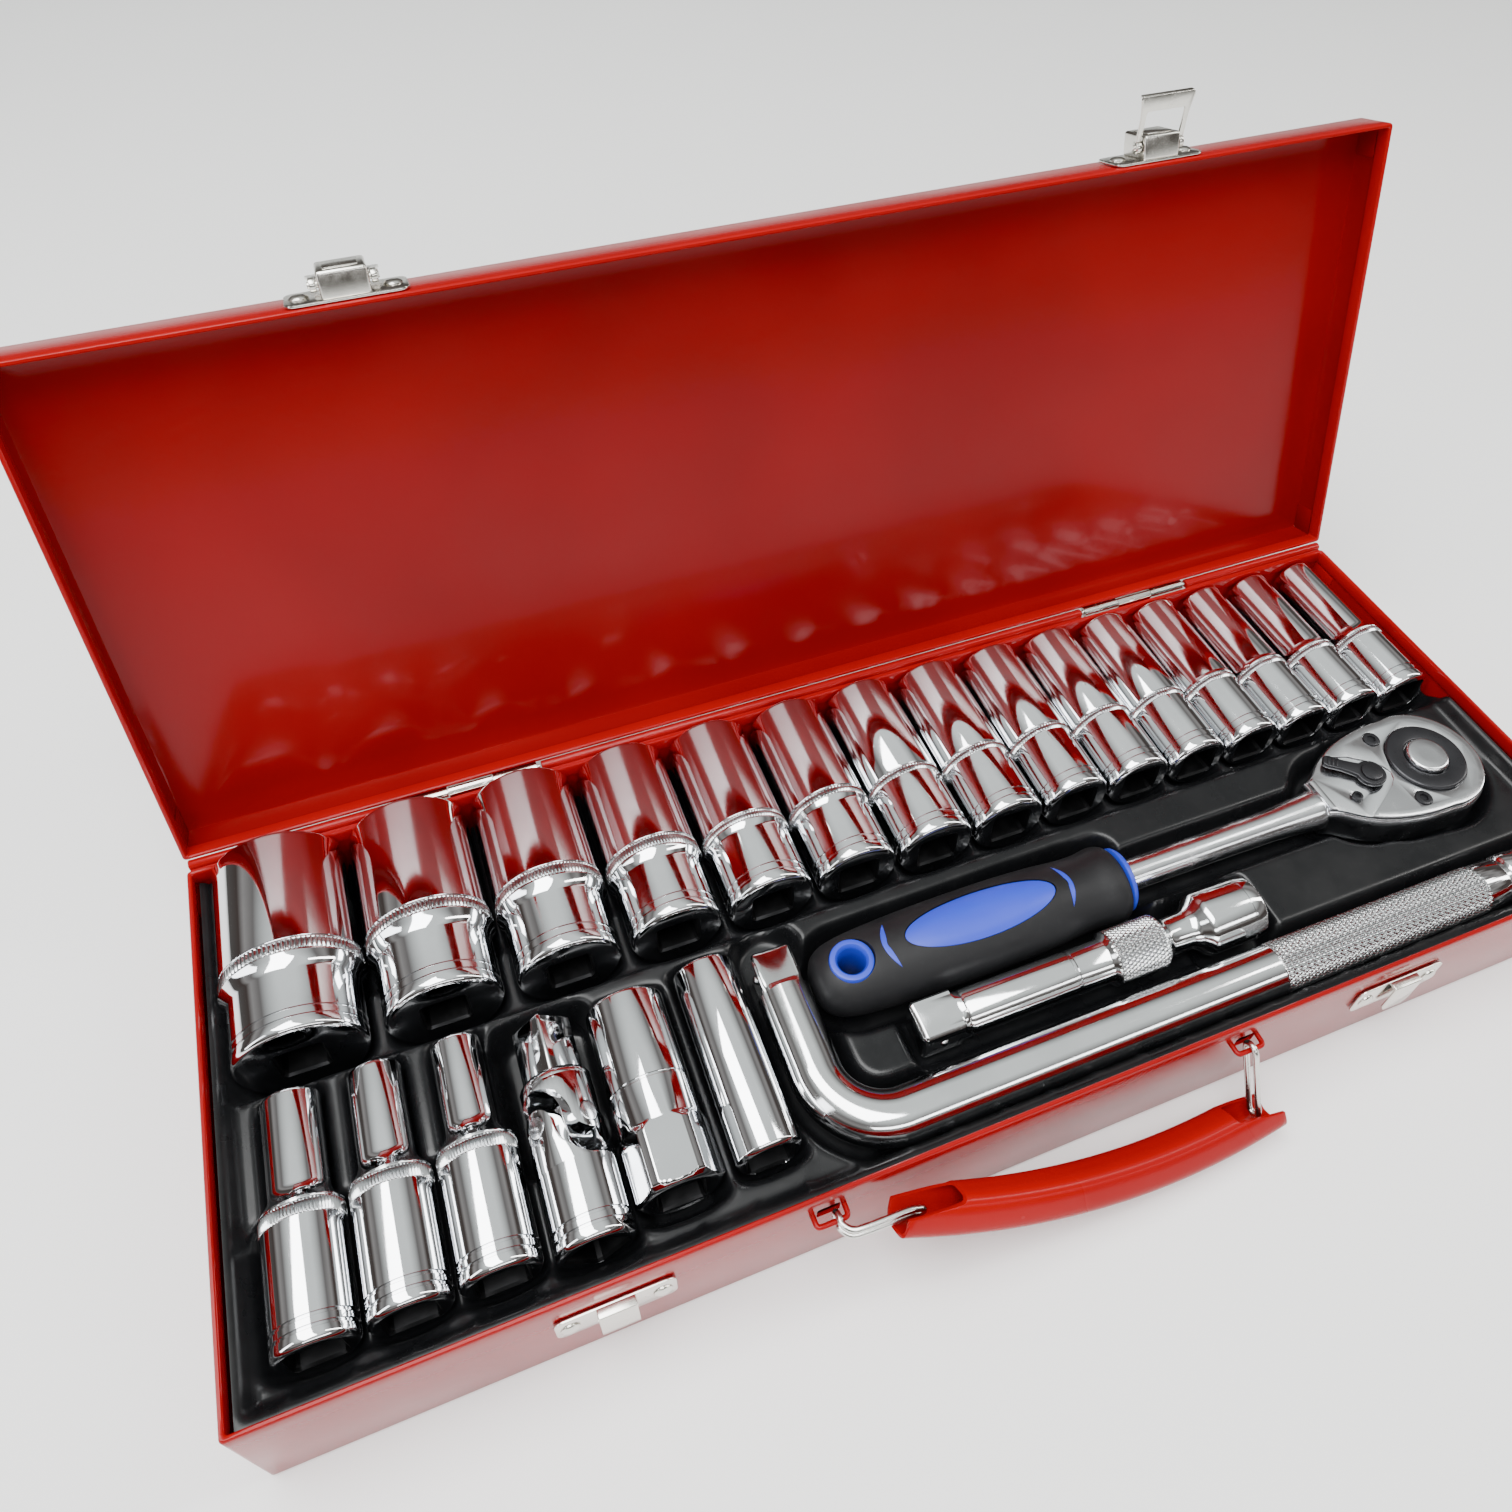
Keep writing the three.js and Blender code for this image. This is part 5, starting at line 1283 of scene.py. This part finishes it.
# ---- floor, light and camera ----
floor_mesh = bpy.data.meshes.new("floor")
floor_mesh.from_pydata([(-6, -6, 0), (6, -6, 0), (6, 6, 0), (-6, 6, 0)], [], [(0, 1, 2, 3)])
floor = bpy.data.objects.new("floor", floor_mesh)
bpy.context.scene.collection.objects.link(floor)
floor.location.z = -0.0003
pale = Nodes("pale_floor", (0.93, 0.93, 0.925), 0.7, specular=0.1)
pale.vary_roughness(pale.noise(60, 3), 0.6, 0.7)
floor.data.materials.append(pale.material)


def softbox(name, at, towards, size, power, color=(1, 1, 1)):
    data = bpy.data.lights.new(name, "AREA")
    data.shape = "RECTANGLE"
    data.size, data.size_y = size
    data.energy = power
    data.color = color
    lamp = bpy.data.objects.new(name, data)
    lamp.location = at
    aim = Vector(towards) - Vector(at)
    lamp.rotation_euler = aim.to_track_quat("-Z", "Y").to_euler()
    bpy.context.scene.collection.objects.link(lamp)


softbox("overhead_softbox", (-0.35, -0.10, 1.3), (0.02, 0.02, 0.03), (1.3, 0.8), 34)
softbox("front_strip", (0.15, -1.35, 0.9), (0.0, 0.0, 0.03), (1.8, 0.2), 8)
softbox("right_strip", (1.2, -0.15, 0.8), (0.05, 0.0, 0.03), (0.2, 1.4), 9, (1, 0.98, 0.95))
softbox("left_strip", (-1.25, -0.35, 0.6), (0.0, 0.0, 0.05), (0.3, 0.9), 5, (0.95, 0.98, 1))

# a room that is pale overhead and dark towards the horizon, so that chrome shows both
world = bpy.data.worlds.new("studio")
world.use_nodes = True
sky = world.node_tree
direction = sky.nodes.new("ShaderNodeTexCoord")
height = sky.nodes.new("ShaderNodeSeparateXYZ")
ramp = sky.nodes.new("ShaderNodeValToRGB")
ramp.color_ramp.elements[0].position = 0.0
ramp.color_ramp.elements[0].color = (0.10, 0.095, 0.09, 1)
ramp.color_ramp.elements[1].position = 0.85
ramp.color_ramp.elements[1].color = (0.95, 1.0, 0.98, 1)
for at, shade in ((0.28, (0.07, 0.055, 0.05)), (0.42, (0.32, 0.31, 0.30)), (0.6, (0.18, 0.17, 0.165))):
    ramp.color_ramp.elements.new(at).color = (*shade, 1)
sky.links.new(direction.outputs["Generated"], height.inputs["Vector"])
sky.links.new(height.outputs["Z"], ramp.inputs["Fac"])
sky.links.new(ramp.outputs["Color"], sky.nodes["Background"].inputs["Color"])
sky.nodes["Background"].inputs["Strength"].default_value = 1.0
bpy.context.scene.world = world

CAMERA_AT = Vector((-124.30, -174.50, 374.79)) * MM
AZIMUTH, ELEVATION, TILT = (math.radians(v) for v in (22.82, 46.59, 2.06))
ahead = Vector((
    math.sin(AZIMUTH) * math.cos(ELEVATION),
    math.cos(AZIMUTH) * math.cos(ELEVATION),
    -math.sin(ELEVATION),
))
right = ahead.cross(Vector((0, 0, 1))).normalized()
above = right.cross(ahead)
across = right * math.cos(TILT) + above * math.sin(TILT)
upward = above * math.cos(TILT) - right * math.sin(TILT)
lens = bpy.data.cameras.new("camera")
lens.lens = 28.55
lens.sensor_width = 36
lens.shift_x = -0.0223
lens.shift_y = -0.0860
lens.clip_start = 0.01
camera = bpy.data.objects.new("camera", lens)
camera.matrix_world = Matrix.Translation(CAMERA_AT) @ Matrix((across, upward, -ahead)).transposed().to_4x4()
bpy.context.scene.collection.objects.link(camera)
bpy.context.scene.camera = camera


def corners(pair):
    return [list(map(float, corner)) for corner in pair]
